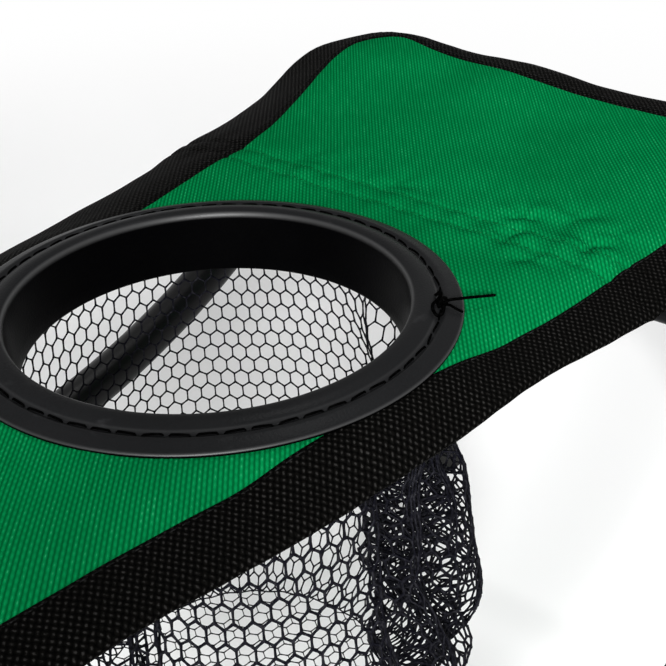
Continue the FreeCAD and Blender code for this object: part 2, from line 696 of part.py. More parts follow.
def make_net_openings():
    """A grid of openings through the bowl, inside its edge: what crossing webs leave of a wide rod."""
    hub = HOOP_CENTRE
    within = cylinder(f"{NET_EDGE} - grid_web", "2 * net_bulge", x="-2 * net_bulge", z=hub,
                      turn_axis=(0, 1, 0), turn="90")
    reach = "2 * hoop_radius"
    webs = [block("3 * net_bulge", reach, f"{NET_HEM} + grid_web", x="-2.5 * net_bulge",
                  y="-hoop_radius")]
    for step in range(-4, 5):
        webs.append(block("3 * net_bulge", "grid_web", f"2 * {reach}", x="-2.5 * net_bulge",
                          y=f"{step} * grid_pitch - grid_web / 2"))
    for step in range(-3, 5):
        webs.append(block("3 * net_bulge", reach, "grid_web", x="-2.5 * net_bulge", y="-hoop_radius",
                          z=f"{hub} + {step} * grid_pitch - grid_web / 2"))
    return cut(within, webs)


def make_backstop_net():
    """The net behind the hoop: a thin bowl with a level floor, open at the front, with a coarse mesh."""
    outside = make_bowl(NET_EDGE, "net_bulge", NET_HEM)
    inside = make_bowl(f"({NET_EDGE} - 2 * net_cloth)", "(net_bulge - net_cloth)", f"{NET_HEM} + net_cloth")
    net = cut(outside, [inside, make_net_openings()])
    place(net, **HOOP_FRAME)
    finished(net, "backstop_net")


def make_hem_strap():
    """The strap that holds the net's floor across the front, between the two ends of the bend."""
    half = f"(sqrt({NET_EDGE} ^ 2 - ({HOOP_CENTRE} - {NET_HEM}) ^ 2) - soft_gap)"
    strap = fuse([
        block("strap_cloth", half, "strap_width", x="soft_gap", z=NET_HEM),
        block("strap_cloth", half, "strap_width", x="soft_gap", y=f"-{half}", z=NET_HEM),
    ])
    place(strap, **HOOP_FRAME)
    finished(strap, "hem_strap")


# --- assembly -----------------------------------------------------------------------------------------

make_target_band()
make_band_binding()
make_pocket("front_pocket", True, "front_seam", "front_pocket_half")
make_pocket("rear_pocket", False, "half_span - rear_seam_setback", "rear_pocket_half")
make_cup_ring()
make_ball_bag()
make_bar("front_bar", "half_span")
make_bar("rear_bar", "-half_span")
for side_name, side_sign in (("left", 1), ("right", -1)):
    make_rail(f"{side_name}_rail", side_sign)
    for end_name, end_sign in (("front", 1), ("rear", -1)):
        make_corner(f"{end_name}_{side_name}_corner", end_sign, side_sign, ears=end_sign < 0)
        make_leg(f"{end_name}_{side_name}_leg", end_sign, side_sign)
        make_leg_plug(f"{end_name}_{side_name}_leg_plug", end_sign, side_sign)
        make_boot(f"{end_name}_{side_name}_foot", end_sign, side_sign)
        make_leg_rivet(f"{end_name}_{side_name}_leg_rivet", end_sign, side_sign)
    make_hoop_eye(f"{side_name}_hoop_eye", side_sign)
    make_hoop_rivet(f"{side_name}_hoop_rivet", side_sign)
make_brace("front_brace", 1)
make_brace("rear_brace", -1)
make_hoop_rod()
make_hoop_sleeve()
make_backstop_net()
make_hem_strap()
doc.recompute()


def check_shapes():
    for thing in doc.Objects:
        assert not {"Invalid", "Error"} & set(thing.State), f"{thing.Label} failed: {thing.State}"
    for piece in parts:
        shape = piece.Shape
        good = not shape.isNull() and shape.isValid() and shape.Volume > 0
        assert good, f"{piece.Label} has no good shape"


check_shapes()
# Move the origin to the bottom centre of the whole box.
reach = FreeCAD.BoundBox()
for piece in parts:
    reach.add(piece.Shape.optimalBoundingBox(False))
sheet.set(f"B{len(SIZES)}", f"{(reach.XMin + reach.XMax) / 2:.4f}")
doc.recompute()
check_shapes()
print(f"cup centre to origin: {value('middle_x'):.4f}")

os.makedirs("parts", exist_ok=True)
for piece in parts:
    piece.Shape.exportStep(f"parts/{piece.Label}.step")
    box = piece.Shape.optimalBoundingBox(False)
    print(f"{piece.Label:24s} solids {len(piece.Shape.Solids)}  volume {piece.Shape.Volume:9.0f}"
          f"  X {box.XMin:7.1f} {box.XMax:7.1f}  Y {box.YMin:7.1f} {box.YMax:7.1f}"
          f"  Z {box.ZMin:6.1f} {box.ZMax:6.1f}")
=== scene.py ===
# %% [markdown]
# # A golf chipping net
# A folding tube frame carries a green cloth deck.  A plastic cup ring is sewn into the deck, a knitted
# bag hangs under it to catch the ball, and a sprung hoop at the rear carries a backstop net.
# The frame's rigid pieces come from the CAD model and only get a finish here.
# The soft pieces are made here, because a thin solid can't show folds, stitches or netting.

# %% Load the frame
import math

import bpy
import numpy as np
from mathutils import Matrix, Vector, noise


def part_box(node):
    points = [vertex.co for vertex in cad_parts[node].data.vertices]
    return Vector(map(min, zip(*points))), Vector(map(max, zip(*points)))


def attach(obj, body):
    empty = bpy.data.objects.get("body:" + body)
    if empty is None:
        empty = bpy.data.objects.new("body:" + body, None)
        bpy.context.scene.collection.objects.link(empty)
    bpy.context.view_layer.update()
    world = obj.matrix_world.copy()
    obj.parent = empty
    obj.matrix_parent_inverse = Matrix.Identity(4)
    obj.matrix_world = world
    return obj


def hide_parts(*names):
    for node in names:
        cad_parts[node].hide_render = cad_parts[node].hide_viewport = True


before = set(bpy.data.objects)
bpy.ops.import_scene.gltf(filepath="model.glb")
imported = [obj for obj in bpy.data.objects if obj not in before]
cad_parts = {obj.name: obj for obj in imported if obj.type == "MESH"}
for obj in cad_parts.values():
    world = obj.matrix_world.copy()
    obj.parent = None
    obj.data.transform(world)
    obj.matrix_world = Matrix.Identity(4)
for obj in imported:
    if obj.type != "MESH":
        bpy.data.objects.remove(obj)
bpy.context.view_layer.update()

# %% [markdown]
# ## Where things are
# All soft pieces are drawn in millimetres from the middle of the cup, level with the top of the deck.
# The CAD model says where that is: the cup ring gives the middle, the deck cloth gives the height.
# The end bars say how far the deck reaches before it goes round them.
# The places could be typed in again here, but they would be wrong as soon as the CAD model changed.

# %% Places taken from the CAD model
MM = 0.001
ring_low, ring_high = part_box("cup_ring")
deck_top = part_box("target_band")[1][2]
bar_low, bar_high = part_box("front_bar")
CUP = np.array([(ring_low[0] + ring_high[0]) / 2, (ring_low[1] + ring_high[1]) / 2, deck_top])
BAR_X = ((bar_low[0] + bar_high[0]) / 2 - CUP[0]) / MM
BAR_Z = ((bar_low[2] + bar_high[2]) / 2 - CUP[2]) / MM
print("cup centre:", CUP.round(4), "bar axis at", round(BAR_X, 2), round(BAR_Z, 2), "mm from it")


def from_cup(points):
    """Turn millimetres from the cup into metres in the frame."""
    return np.asarray(points, dtype=float) * MM + CUP


# %% [markdown]
# ## The camera
# It stands close to the rear right of the cup and looks down across the ring to the wide end.
# A long lens set near the object keeps the ring large, and a slight roll tilts the deck.
# A Track To constraint could aim it, but it can't hold a roll, so three directions make its matrix.

# %% The camera
EYE = from_cup((-211.3, -221.9, 169.1))
SIGHT = Vector((0.6591, 0.5577, -0.5046)).normalized()
LEVEL_RIGHT = SIGHT.cross(Vector((0, 0, 1))).normalized()
LEVEL_UP = LEVEL_RIGHT.cross(SIGHT)
ROLL = math.radians(2.45)
right = LEVEL_RIGHT * math.cos(ROLL) - LEVEL_UP * math.sin(ROLL)
up = LEVEL_UP * math.cos(ROLL) + LEVEL_RIGHT * math.sin(ROLL)
lens = bpy.data.cameras.new("camera")
lens.lens = 70.27
lens.sensor_width = 36
lens.clip_start = 0.01
camera = bpy.data.objects.new("camera", lens)
bpy.context.scene.collection.objects.link(camera)
turned = Matrix((right, up, -SIGHT)).transposed().to_4x4()
camera.matrix_world = Matrix.Translation(Vector(EYE)) @ turned
bpy.context.scene.camera = camera
bpy.context.scene.view_settings.view_transform = "Standard"
print("camera right", [round(c, 4) for c in right], "up", [round(c, 4) for c in up])

# %% [markdown]
# ## Sums of sockets
# A material is a graph of nodes, and a graph is hard to read.  A small class holds one output socket
# and lets Python's own signs add the Math nodes, so a pattern is written like a formula.
# Colours are mixed by a Mix node, because a Math node would turn them grey.


# %% A socket that can be written in formulas
class Wire:
    """One output socket of a node."""

    def __init__(self, socket):
        self.socket = socket
        self.tree = socket.id_data

    @classmethod
    def of_node(cls, tree, kind, settings=None, inputs=None, output=0):
        """Add a node of a kind, set it up, and give one of its outputs."""
        node = tree.nodes.new("ShaderNode" + kind)
        for name, setting in (settings or {}).items():
            setattr(node, name, setting)
        for name, item in (inputs or {}).items():
            if isinstance(item, Wire):
                tree.links.new(item.socket, node.inputs[name])
            else:
                node.inputs[name].default_value = item
        return cls(node.outputs[output])

    def sum(self, operation, *items):
        return Wire.of_node(self.tree, "Math", {"operation": operation}, dict(enumerate(items)))

    def __add__(self, other):
        return self.sum("ADD", self, other)

    __radd__ = __add__

    def __sub__(self, other):
        return self.sum("SUBTRACT", self, other)

    def __rsub__(self, other):
        return self.sum("SUBTRACT", other, self)

    def __mul__(self, other):
        return self.sum("MULTIPLY", self, other)

    __rmul__ = __mul__

    def __abs__(self):
        return self.sum("ABSOLUTE", self)

    def sine(self):
        return self.sum("SINE", self)

    def floor(self):
        return self.sum("FLOOR", self)

    def largest(self, other):
        return self.sum("MAXIMUM", self, other)

    def between(self, low, high):
        """Rise smoothly from 0 at low to 1 at high."""
        settings = {"interpolation_type": "SMOOTHSTEP"}
        inputs = {"Value": self, "From Min": low, "From Max": high}
        return Wire.of_node(self.tree, "MapRange", settings, inputs)

    def blend(self, first, second):
        """Mix two colours by this value: 0 gives the first, 1 the second."""
        inputs = {0: self, 6: first, 7: second}
        return Wire.of_node(self.tree, "Mix", {"data_type": "RGBA"}, inputs, output=2)


# %% [markdown]
# ## A finish
# Every finish needs the same start: a material, one shader, and coordinates in millimetres.
# Cloth takes its coordinates from the flat cut through a UV map, so that the weave follows the cloth.
# A moulded or metal piece takes them from the object's own space, which moves with it.

# %% Starting a finish


def new_finish(name, **constants):
    """Make a material and give it with its tree and shader; the constants go on the shader's sockets."""
    material = bpy.data.materials.new(name)
    material.use_nodes = True
    tree = material.node_tree
    shader = tree.nodes["Principled BSDF"]
    for key, number in constants.items():
        shader.inputs[key.replace("_", " ").title().replace("Ior", "IOR")].default_value = number
    return material, tree, shader


def cloth_millimetres(tree):
    """The flat cut's two coordinates, in millimetres."""
    flat = Wire.of_node(tree, "UVMap", {"uv_map": "flat"})
    along = Wire.of_node(tree, "SeparateXYZ", None, {0: flat}, output="X")
    across = Wire.of_node(tree, "SeparateXYZ", None, {0: flat}, output="Y")
    return along * 1000.0, across * 1000.0


def solid_place(tree, stretch=(1.0, 1.0, 1.0)):
    """The place in the object's own space, in metres, stretched by three factors."""
    spot = Wire.of_node(tree, "TexCoord", output="Object")
    return Wire.of_node(tree, "VectorMath", {"operation": "MULTIPLY"}, {0: spot, 1: stretch})


def cloud(tree, place, scale, detail=2.0):
    """Soft noise from 0 to 1, with so many features in a metre."""
    return Wire.of_node(tree, "TexNoise", None, {"Vector": place, "Scale": scale, "Detail": detail})


def roughen(tree, shader, height, distance, strength=1.0):
    """Let a height in units of so many metres tilt the shader's normal."""
    bump = Wire.of_node(tree, "Bump", None,
                        {"Height": height, "Distance": distance, "Strength": strength})
    tree.links.new(bump.socket, shader.inputs["Normal"])


def set_colour(tree, shader, colour):
    tree.links.new(colour.socket, shader.inputs["Base Color"])


def set_roughness(tree, shader, roughness):
    tree.links.new(roughness.socket, shader.inputs["Roughness"])


# %% [markdown]
# ## A plain weave
# Woven cloth is two sets of yarns that pass over and under each other by turns.
# An image of cloth would blur when seen close, so the weave is a formula: each yarn is a rounded ridge,
# and its height goes up and down along its length, half a step later in the next yarn.

# %% The weave as a formula


def plain_weave(along, across, turn, pitch, weft_share=1.0):
    """Height from 0 to 1 of a plain weave at an angle to the cut; a low weft share makes it ribbed."""
    cosine = math.cos(math.radians(turn)) / pitch
    sine = math.sin(math.radians(turn)) / pitch
    warp = along * cosine + across * sine
    weft = across * cosine - along * sine
    warp_ridge = abs((warp * math.pi).sine())
    weft_ridge = abs((weft * math.pi).sine())
    warp_lift = ((weft + warp.floor()) * math.pi).sine() * 0.5 + 0.5
    weft_lift = ((warp + weft.floor()) * math.pi).sine() * -0.5 + 0.5
    warp_height = warp_ridge * (warp_lift * weft_share + (1 - weft_share))
    return warp_height.largest(weft_ridge * weft_lift * weft_share)


# %% [markdown]
# ## The green polyester
# The deck is a coarse coated polyester.  Its yarns lie across the cut at a slant, their tops catch the
# light as fine specks, and the cloth is a little darker in wide soft patches where it is slack.
# One flat colour would look like paper.  So the weave moves the colour and the normal: its hollows get
# painted shade and its highest tops painted highlight specks.  Long streaks make some yarns thicker, and
# slow clouds paint shade on the slack patches.

# %% Green polyester
# The darkest green is painted shade, used in the weave's hollows and on the slack patches.
GREEN_PAINTED_SHADE = (0.0002, 0.082, 0.021, 1)
GREEN_YARN = (0.0012, 0.186, 0.052, 1)
# The palest green is a painted highlight on the highest yarn tops.
GREEN_PAINTED_GLINT = (0.0300, 0.350, 0.140, 1)
GREEN_TURN = -51.0
GREEN_PITCH = 1.12
GREEN_WEFT = 0.35
SLUB_TURN = -39.0


def green_polyester():
    material, tree, shader = new_finish("green_polyester", specular_ior_level=0.0)
    along, across = cloth_millimetres(tree)
    weave = plain_weave(along, across, GREEN_TURN, GREEN_PITCH, GREEN_WEFT)
    flat = Wire.of_node(tree, "CombineXYZ", None, {0: along, 1: across})
    streak_place = Wire.of_node(tree, "VectorRotate", {"rotation_type": "Z_AXIS"},
                                {"Vector": flat, "Angle": math.radians(SLUB_TURN)})
    long_yarns = Wire.of_node(tree, "VectorMath", {"operation": "MULTIPLY"},
                              {0: streak_place, 1: (0.10, 0.9, 1.0)})
    slub = cloud(tree, long_yarns, 1.0, 3.0)
    patch = cloud(tree, flat, 0.022, 3.0)
    yarn_height = weave * (slub * 0.9 + 0.55)
    # Painted shade: the hollows between yarns are darker than the yarn tops.
    body = yarn_height.between(0.1, 0.9).blend(GREEN_PAINTED_SHADE, GREEN_YARN)
    # Painted highlight: the highest yarn tops get pale glint specks.
    glinted = (yarn_height.between(0.92, 1.2) * 0.75).blend(body, GREEN_PAINTED_GLINT)
    # Painted shade: slow clouds darken the cloth in wide soft patches where it is slack.
    shaded = (patch.between(0.35, 0.75) * 0.30).blend(glinted, GREEN_PAINTED_SHADE)
    set_colour(tree, shader, shaded)
    set_roughness(tree, shader, 0.78 - weave * 0.18)
    roughen(tree, shader, yarn_height + patch * 1.5, 0.00028, 0.8)
    return material


GREEN = green_polyester()
print("made", GREEN.name)

# %% [markdown]
# ## The black binding
# The edge tape is a coarse black weave cut on the slant.  Most of it is nearly black, with painted shade in
# the hollows, and the top of each yarn shows as a small grey speck of painted highlight.  It uses the
# deck's weave formula with a wider pitch, and only the highest tops get the grey painted highlight, because
# a shine all over would turn the tape grey.

# %% Black binding
# The hollow colour is painted shade between the yarns, and the speck colour is a painted highlight on yarn
# tops.
BINDING_PAINTED_SHADE = (0.0002, 0.0002, 0.0002, 1)
BINDING_YARN = (0.0018, 0.0017, 0.0015, 1)
BINDING_PAINTED_GLINT = (0.026, 0.025, 0.024, 1)
BINDING_TURN = 40.0
BINDING_PITCH = 1.45


def black_binding():
    material, tree, shader = new_finish("black_binding", specular_ior_level=0.01)
    along, across = cloth_millimetres(tree)
    weave = plain_weave(along, across, BINDING_TURN, BINDING_PITCH)
    flat = Wire.of_node(tree, "CombineXYZ", None, {0: along, 1: across})
    fuzz = cloud(tree, flat, 1.3, 2.0)
    dust_and_glint_cloud = cloud(tree, flat, 0.05, 3.0)
    yarn_height = weave * (fuzz * 0.9 + 0.5)
    # Painted shade: the hollows between yarns are darker than the yarn tops.
    body = yarn_height.between(0.1, 0.7).blend(BINDING_PAINTED_SHADE, BINDING_YARN)
    # Painted highlight: the highest yarn tops get grey glint specks, spread unevenly by a random cloud.
    painted_glint = yarn_height.between(0.72, 1.0) * (dust_and_glint_cloud * 0.8 + 0.2)
    set_colour(tree, shader, painted_glint.blend(body, BINDING_PAINTED_GLINT))
    set_roughness(tree, shader, 0.85 - weave * 0.25)
    roughen(tree, shader, yarn_height, 0.0004, 0.9)
    return material


BINDING = black_binding()
print("made", BINDING.name)

# %% [markdown]
# ## Netting and sewing thread
# The netting is a fine dull yarn with a cool edge, the sewing thread is matt, and the thread round the
# ring is waxed and nearly black.  The twist could be modelled, but a yarn is too thin to show it, so
# one function gives all of them a worn tone and a little bump.

# %% Netting and thread


def twisted_yarn(name, colour, light, roughness, gloss=0.02):
    material, tree, shader = new_finish(name, specular_ior_level=gloss)
    place = solid_place(tree)
    wear = cloud(tree, place, 900.0, 2.0)
    set_colour(tree, shader, wear.between(0.4, 0.75).blend(colour, light))
    set_roughness(tree, shader, wear * 0.3 + roughness)
    roughen(tree, shader, wear, 0.0001, 0.5)
    return material


NETTING = twisted_yarn("black_netting", (0.0030, 0.0030, 0.0050, 1), (0.014, 0.014, 0.017, 1), 0.4)
THREAD = twisted_yarn("black_thread", (0.003, 0.003, 0.003, 1), (0.015, 0.015, 0.015, 1), 0.65)
RING_THREAD = twisted_yarn("waxed_thread", (0.0002, 0.0002, 0.0002, 1), (0.0016, 0.0016, 0.0016, 1), 0.7,
                           gloss=0.002)
GREEN_THREAD = twisted_yarn("green_thread", (0.0005, 0.070, 0.018, 1), (0.001, 0.130, 0.036, 1), 0.7)
print("made", NETTING.name, THREAD.name, RING_THREAD.name, GREEN_THREAD.name)

# %% [markdown]
# ## Moulded plastics and rubber
# The cup ring is a nearly black satin moulding, the corners are a dark grey plastic with a fine grain,
# and the feet are matt rubber.  They could be three plain colours, but real mouldings wear unevenly.
# One function makes all three: a grain bump of its own size, soft patches in the gloss, a paler tone
# painted on faces that look up as painted top light, scuffs only on those faces, and on the ring a thin
# shine where its edges slope.

# %% A moulded surface


def moulding(name, dark, pale, top_light_colour, gloss, polish, roughness, grain, depth):
    """A plastic with a fine grain: upward faces are painted paler as painted top light, and sloping edges
    are rubbed shiny.
    """
    material, tree, shader = new_finish(name, specular_ior_level=gloss, coat_roughness=0.5, coat_ior=1.5)
    place = solid_place(tree)
    fine = cloud(tree, place, grain, 3.0)
    patch = cloud(tree, place, 35.0, 3.0)
    scuff = cloud(tree, solid_place(tree, (1.0, 1.0, 6.0)), 160.0, 4.0).between(0.62, 0.8)
    tone = patch * 0.6 + fine * 0.4
    normal = Wire.of_node(tree, "TexCoord", output="Normal")
    upward = Wire.of_node(tree, "SeparateXYZ", None, {0: normal}, output="Z")
    # Painted top light: faces that look up get the paler colour, and walls that face sideways or down stay
    # dark.
    painted_top_light = upward.between(0.15, 0.95) * (tone * 0.7 + 0.65)
    coloured = painted_top_light.blend(tone.between(0.3, 0.75).blend(dark, pale), top_light_colour)
    # Scuffs are real wear, but only faces that look up show them, as part of the painted top light.
    set_colour(tree, shader, (scuff * painted_top_light * 0.18).blend(coloured, (0.05, 0.05, 0.052, 1)))
    edge = upward.between(0.12, 0.4) * (1.0 - upward.between(0.6, 0.9))
    tree.links.new((edge * polish).socket, shader.inputs["Coat Weight"])
    set_roughness(tree, shader, patch * 0.16 + fine * 0.08 + scuff * 0.12 + (roughness - 0.12))
    roughen(tree, shader, fine + patch * 0.6, depth, 0.7)
    return material


# %% Plastics and rubber
# The fourth colour of each moulding is the painted top light on faces that look up.
RING_PLASTIC = moulding("black_ring_plastic", (0.0002, 0.0002, 0.0003, 1), (0.0006, 0.0006, 0.0007, 1),
                        (0.0085, 0.0087, 0.0092, 1), gloss=0.012, polish=1.0, roughness=0.3,
                        grain=1400.0, depth=0.00010)
MOULDING = moulding("black_moulding", (0.006, 0.006, 0.007, 1), (0.012, 0.012, 0.013, 1),
                    (0.014, 0.014, 0.015, 1), gloss=0.25, polish=0.0, roughness=0.5,
                    grain=1800.0, depth=0.00010)
RUBBER = moulding("black_rubber", (0.008, 0.008, 0.008, 1), (0.016, 0.016, 0.015, 1),
                  (0.018, 0.018, 0.017, 1), gloss=0.15, polish=0.0, roughness=0.8,
                  grain=900.0, depth=0.00014)
print("made", RING_PLASTIC.name, MOULDING.name, RUBBER.name)

# %% [markdown]
# ## Tube, rod and rivets
# The frame tube is powder coated: near black, slightly glossy, with a faint orange peel.
# The hoop rod is pultruded fibreglass with long streaks.  The rivets are zinc-plated steel with
# turning marks, so their metal varies round the head.
# Image textures would need a flat layout of every tube, so each finish is noise in the piece's own
# space: fine for the peel, and stretched one way for the rod's streaks and the rivets' marks.

# %% Powder-coated tube


def coated_tube():
    material, tree, shader = new_finish("black_tube", specular_ior_level=0.12)
    place = solid_place(tree)
    peel = cloud(tree, place, 700.0, 1.0)
    dust_and_glint_cloud = cloud(tree, place, 30.0, 4.0)
    shade = dust_and_glint_cloud.between(0.45, 0.75).blend((0.0015, 0.0015, 0.0018, 1), (0.0045, 0.0045, 0.0045, 1))
    set_colour(tree, shader, shade)
    set_roughness(tree, shader, dust_and_glint_cloud * 0.2 + 0.3)
    roughen(tree, shader, peel, 0.00008, 0.6)
    return material


# %% Fibreglass rod and plated rivets


def fibreglass_rod():
    material, tree, shader = new_finish("rod_fibreglass", specular_ior_level=0.5)
    streak = cloud(tree, solid_place(tree, (1.0, 1.0, 0.04)), 1500.0, 2.0)
    shade = streak.between(0.35, 0.7).blend((0.012, 0.012, 0.013, 1), (0.045, 0.045, 0.046, 1))
    set_colour(tree, shader, shade)
    set_roughness(tree, shader, streak * 0.2 + 0.3)
    roughen(tree, shader, streak, 0.00006, 0.6)
    return material


def plated_steel():
    material, tree, shader = new_finish("steel_rivet", metallic=1.0)
    turning = cloud(tree, solid_place(tree, (1.0, 0.1, 1.0)), 2500.0, 3.0)
    stain = cloud(tree, solid_place(tree), 250.0, 3.0)
    shade = stain.between(0.4, 0.75).blend((0.62, 0.61, 0.59, 1), (0.40, 0.39, 0.37, 1))
    set_colour(tree, shader, shade)
    set_roughness(tree, shader, stain * 0.25 + turning * 0.15 + 0.15)
    roughen(tree, shader, turning, 0.00003, 0.6)
    return material


TUBE = coated_tube()
ROD = fibreglass_rod()
STEEL = plated_steel()
print("made", TUBE.name, ROD.name, STEEL.name)

# %% [markdown]
# ## Finishes for the CAD pieces
# The rigid CAD pieces already have their real shapes and only need a finish.  They could be dressed
# one by one, but a word in each name says what kind of piece it is, so one short table does for all.

# %% Dress the CAD pieces
KINDS = (("corner", MOULDING), ("plug", MOULDING), ("hoop_eye", MOULDING), ("foot", RUBBER),
         ("rivet", STEEL), ("hoop_rod", ROD), ("bar", TUBE), ("rail", TUBE), ("brace", TUBE), ("leg", TUBE))


def finish_for(name):
    return next((finish for word, finish in KINDS if word in name), None)


dressed = 0
for name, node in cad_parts.items():
    finish = finish_for(name)
    if finish is None:
        continue
    for slot in node.material_slots:
        slot.material = finish
    if not node.material_slots:
        node.data.materials.append(finish)
    dressed += 1
print("dressed", dressed, "CAD pieces")

# %% [markdown]
# ## Making a mesh piece
# Most soft pieces are a grid of points that a formula lays out.  Two helpers turn such a grid, or
# any list of corners and faces, into a smooth piece with its flat-cut coordinates.

# %% Adding a piece


def add_piece(name, points, faces, finish, flat=None, body="frame"):
    """Make a smooth mesh from points in millimetres; flat gives the cut's coordinates of each point."""
    mesh = bpy.data.meshes.new(name)
    mesh.from_pydata(from_cup(points).reshape(-1, 3).tolist(), [], np.asarray(faces).tolist())
    mesh.polygons.foreach_set("use_smooth", [True] * len(mesh.polygons))
    if flat is not None:
        corners = np.empty(len(mesh.loops), dtype=np.int32)
        mesh.loops.foreach_get("vertex_index", corners)
        layer = mesh.uv_layers.new(name="flat")
        layer.data.foreach_set("uv", (np.reshape(flat, (-1, 2))[corners] * MM).ravel())
    mesh.materials.append(finish)
    mesh.validate()
    piece = bpy.data.objects.new(name, mesh)
    bpy.context.scene.collection.objects.link(piece)
    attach(piece, body)
    return piece


def grid_faces(rows, columns, closed_rows=False, closed_columns=False):
    """Quads of a grid whose points are stored row by row."""
    row = np.arange(rows if closed_rows else rows - 1)
    column = np.arange(columns if closed_columns else columns - 1)
    here, beside = np.meshgrid(row, column, indexing="ij")
    next_row = (here + 1) % rows
    next_column = (beside + 1) % columns
    quads = np.stack([here * columns + beside, next_row * columns + beside,
                      next_row * columns + next_column, here * columns + next_column], axis=-1)
    return quads.reshape(-1, 4)


def thicken(piece, thickness):
    """Give a single layer of cloth its thickness in millimetres."""
    solidify = piece.modifiers.new("cloth thickness", "SOLIDIFY")
    solidify.thickness = thickness * MM
    solidify.offset = 0.0


# %% Sums on points


def stacked(*coordinates):
    """Bring coordinates to one shape and put them together as the last axis of an array."""
    return np.stack(np.broadcast_arrays(*coordinates), axis=-1)


def bell(x, middle, width):
    """A smooth bump: 1 at its middle, and about a third of that one width away."""
    return np.exp(-((x - middle) / width) ** 2)


def soft_noise(u, v, size, seed=0.0):
    """Smooth noise from about -1 to 1 over two flat coordinates in millimetres."""
    u, v = np.broadcast_arrays(np.asarray(u, dtype=float), np.asarray(v, dtype=float))
    values = [noise.noise(Vector((a / size, b / size, seed))) for a, b in zip(u.ravel(), v.ravel())]
    return np.array(values).reshape(u.shape)


def walk(points):
    """How far along a line each of its points lies."""
    steps = np.linalg.norm(np.diff(np.asarray(points, dtype=float), axis=0), axis=1)
    return np.concatenate([[0.0], np.cumsum(steps)])


def ease(x, low, high):
    """Rise smoothly from 0 at low to 1 at high."""
    t = np.clip((np.asarray(x, dtype=float) - low) / (high - low), 0.0, 1.0)
    return t * t * (3 - 2 * t)


# %% [markdown]
# ## The deck's cut
# The deck is a long band: narrow at the rear bar, wider at the cup, and flared at the front bar.
# The two long edges are curves along the band, not quite alike, and the four corners are round.
# The binding is turned in by hand, so its seam wanders and the tape shows wider at some places.
# The cut is longer than the frame, because both ends roll over the bars.
# It could be drawn as a Bezier curve, but a table of half widths is easier to measure and to change.
# Each row gives a place along the band, the two edges, and the two seams of the binding.

# %% Measures of the cut
WRAP = 10.7
HEAD_END = BAR_X + 24.0
TAIL_END = -BAR_X - 20.0
HEAD_ROUND = 60.0
TAIL_ROUND = 13.0
EDGE_TABLE = (
    (TAIL_END, 56.0, 56.0, 37.0, 37.0),
    (-205, 57.0, 56.5, 38.0, 38.0),
    (-115, 69.0, 64.8, 48.0, 49.0),
    (-85, 73.0, 68.3, 51.0, 53.0),
    (-55, 78.0, 72.5, 54.0, 57.3),
    (-25, 85.0, 77.0, 57.0, 62.0),
    (5, 91.0, 81.2, 59.5, 66.5),
    (35, 93.5, 83.2, 62.0, 71.0),
    (50, 93.3, 85.2, 64.3, 73.2),
    (65, 94.8, 87.8, 66.8, 74.8),
    (80, 98.5, 90.2, 68.5, 75.8),
    (95, 101.7, 92.8, 70.0, 77.0),
    (110, 104.5, 96.5, 74.0, 79.0),
    (125, 108.2, 101.5, 80.0, 82.5),
    (140, 112.0, 106.5, 85.5, 87.0),
    (155, 114.2, 111.0, 91.0, 92.0),
    (170, 115.5, 114.3, 96.0, 96.0),
    (185, 116.5, 116.5, 99.0, 99.0),
    (206, 117.0, 117.0, 101.0, 101.0),
    (HEAD_END, 116.0, 116.0, 100.5, 100.5))
ALONG, LEFT_EDGE, RIGHT_EDGE, LEFT_SEAM, RIGHT_SEAM = np.array(EDGE_TABLE, dtype=float).T
HEAD_SEAM = ((-120, 203.0), (-97, 201.0), (-60, 197.0), (-40, 195.0), (-20, 195.5), (0, 196.5), (10, 195.5),
             (30, 196.0), (50, 199.0), (70, 200.5), (85, 204.0), (120, 206.0))


# %% Curves through the measures


def eased_curve(at, stations, values):
    """A curve through a few stations, with its bends eased."""
    fine = np.linspace(-260.0, 260.0, 1041)
    wide = np.interp(fine, stations, values)
    share = bell(np.linspace(-2.5, 2.5, 41), 0.0, 1.0)
    smooth = np.convolve(np.pad(wide, 20, mode="edge"), share / share.sum(), mode="valid")
    return np.interp(at, fine, smooth)


def half_width(u, v):
    """Half width of the cut, before its corners are rounded, on the side that v is on."""
    left = eased_curve(u, ALONG, LEFT_EDGE)
    right = eased_curve(u, ALONG, RIGHT_EDGE)
    return np.where(np.asarray(v) >= 0, left, right)


def head_end(v):
    return np.full(np.shape(v), HEAD_END)


def head_seam(v):
    return eased_curve(v, *zip(*HEAD_SEAM))


# %% The line round the cut


def half_outline(side, widths, tail, tail_round, head_line, head_round):
    """One side of a line round the deck, from the middle of the tail to the middle of the head."""
    head = float(head_line(side * (widths[-2] - head_round)))
    side_u = np.linspace(tail + tail_round, head - head_round, 260)
    side_v = eased_curve(side_u, ALONG, widths)
    sweep = np.linspace(0, math.pi / 2, 25)[1:-1]
    tail_u = tail + tail_round * (1 - np.cos(sweep))
    tail_v = side_v[0] - tail_round * (1 - np.sin(sweep))
    head_u = head - head_round * (1 - np.sin(sweep))
    head_v = side_v[-1] - head_round * (1 - np.cos(sweep))
    tail_edge = np.linspace(0, side_v[0] - tail_round, 21)
    head_edge = np.linspace(side_v[-1] - head_round, 0, 41)
    u = np.concatenate([np.full(21, tail), tail_u, side_u, head_u, head_line(side * head_edge)])
    v = np.concatenate([tail_edge, tail_v, side_v, head_v, head_edge])
    return stacked(u, side * v)


def outline(left, right):
    return np.vstack([left, right[1:-1][::-1]])


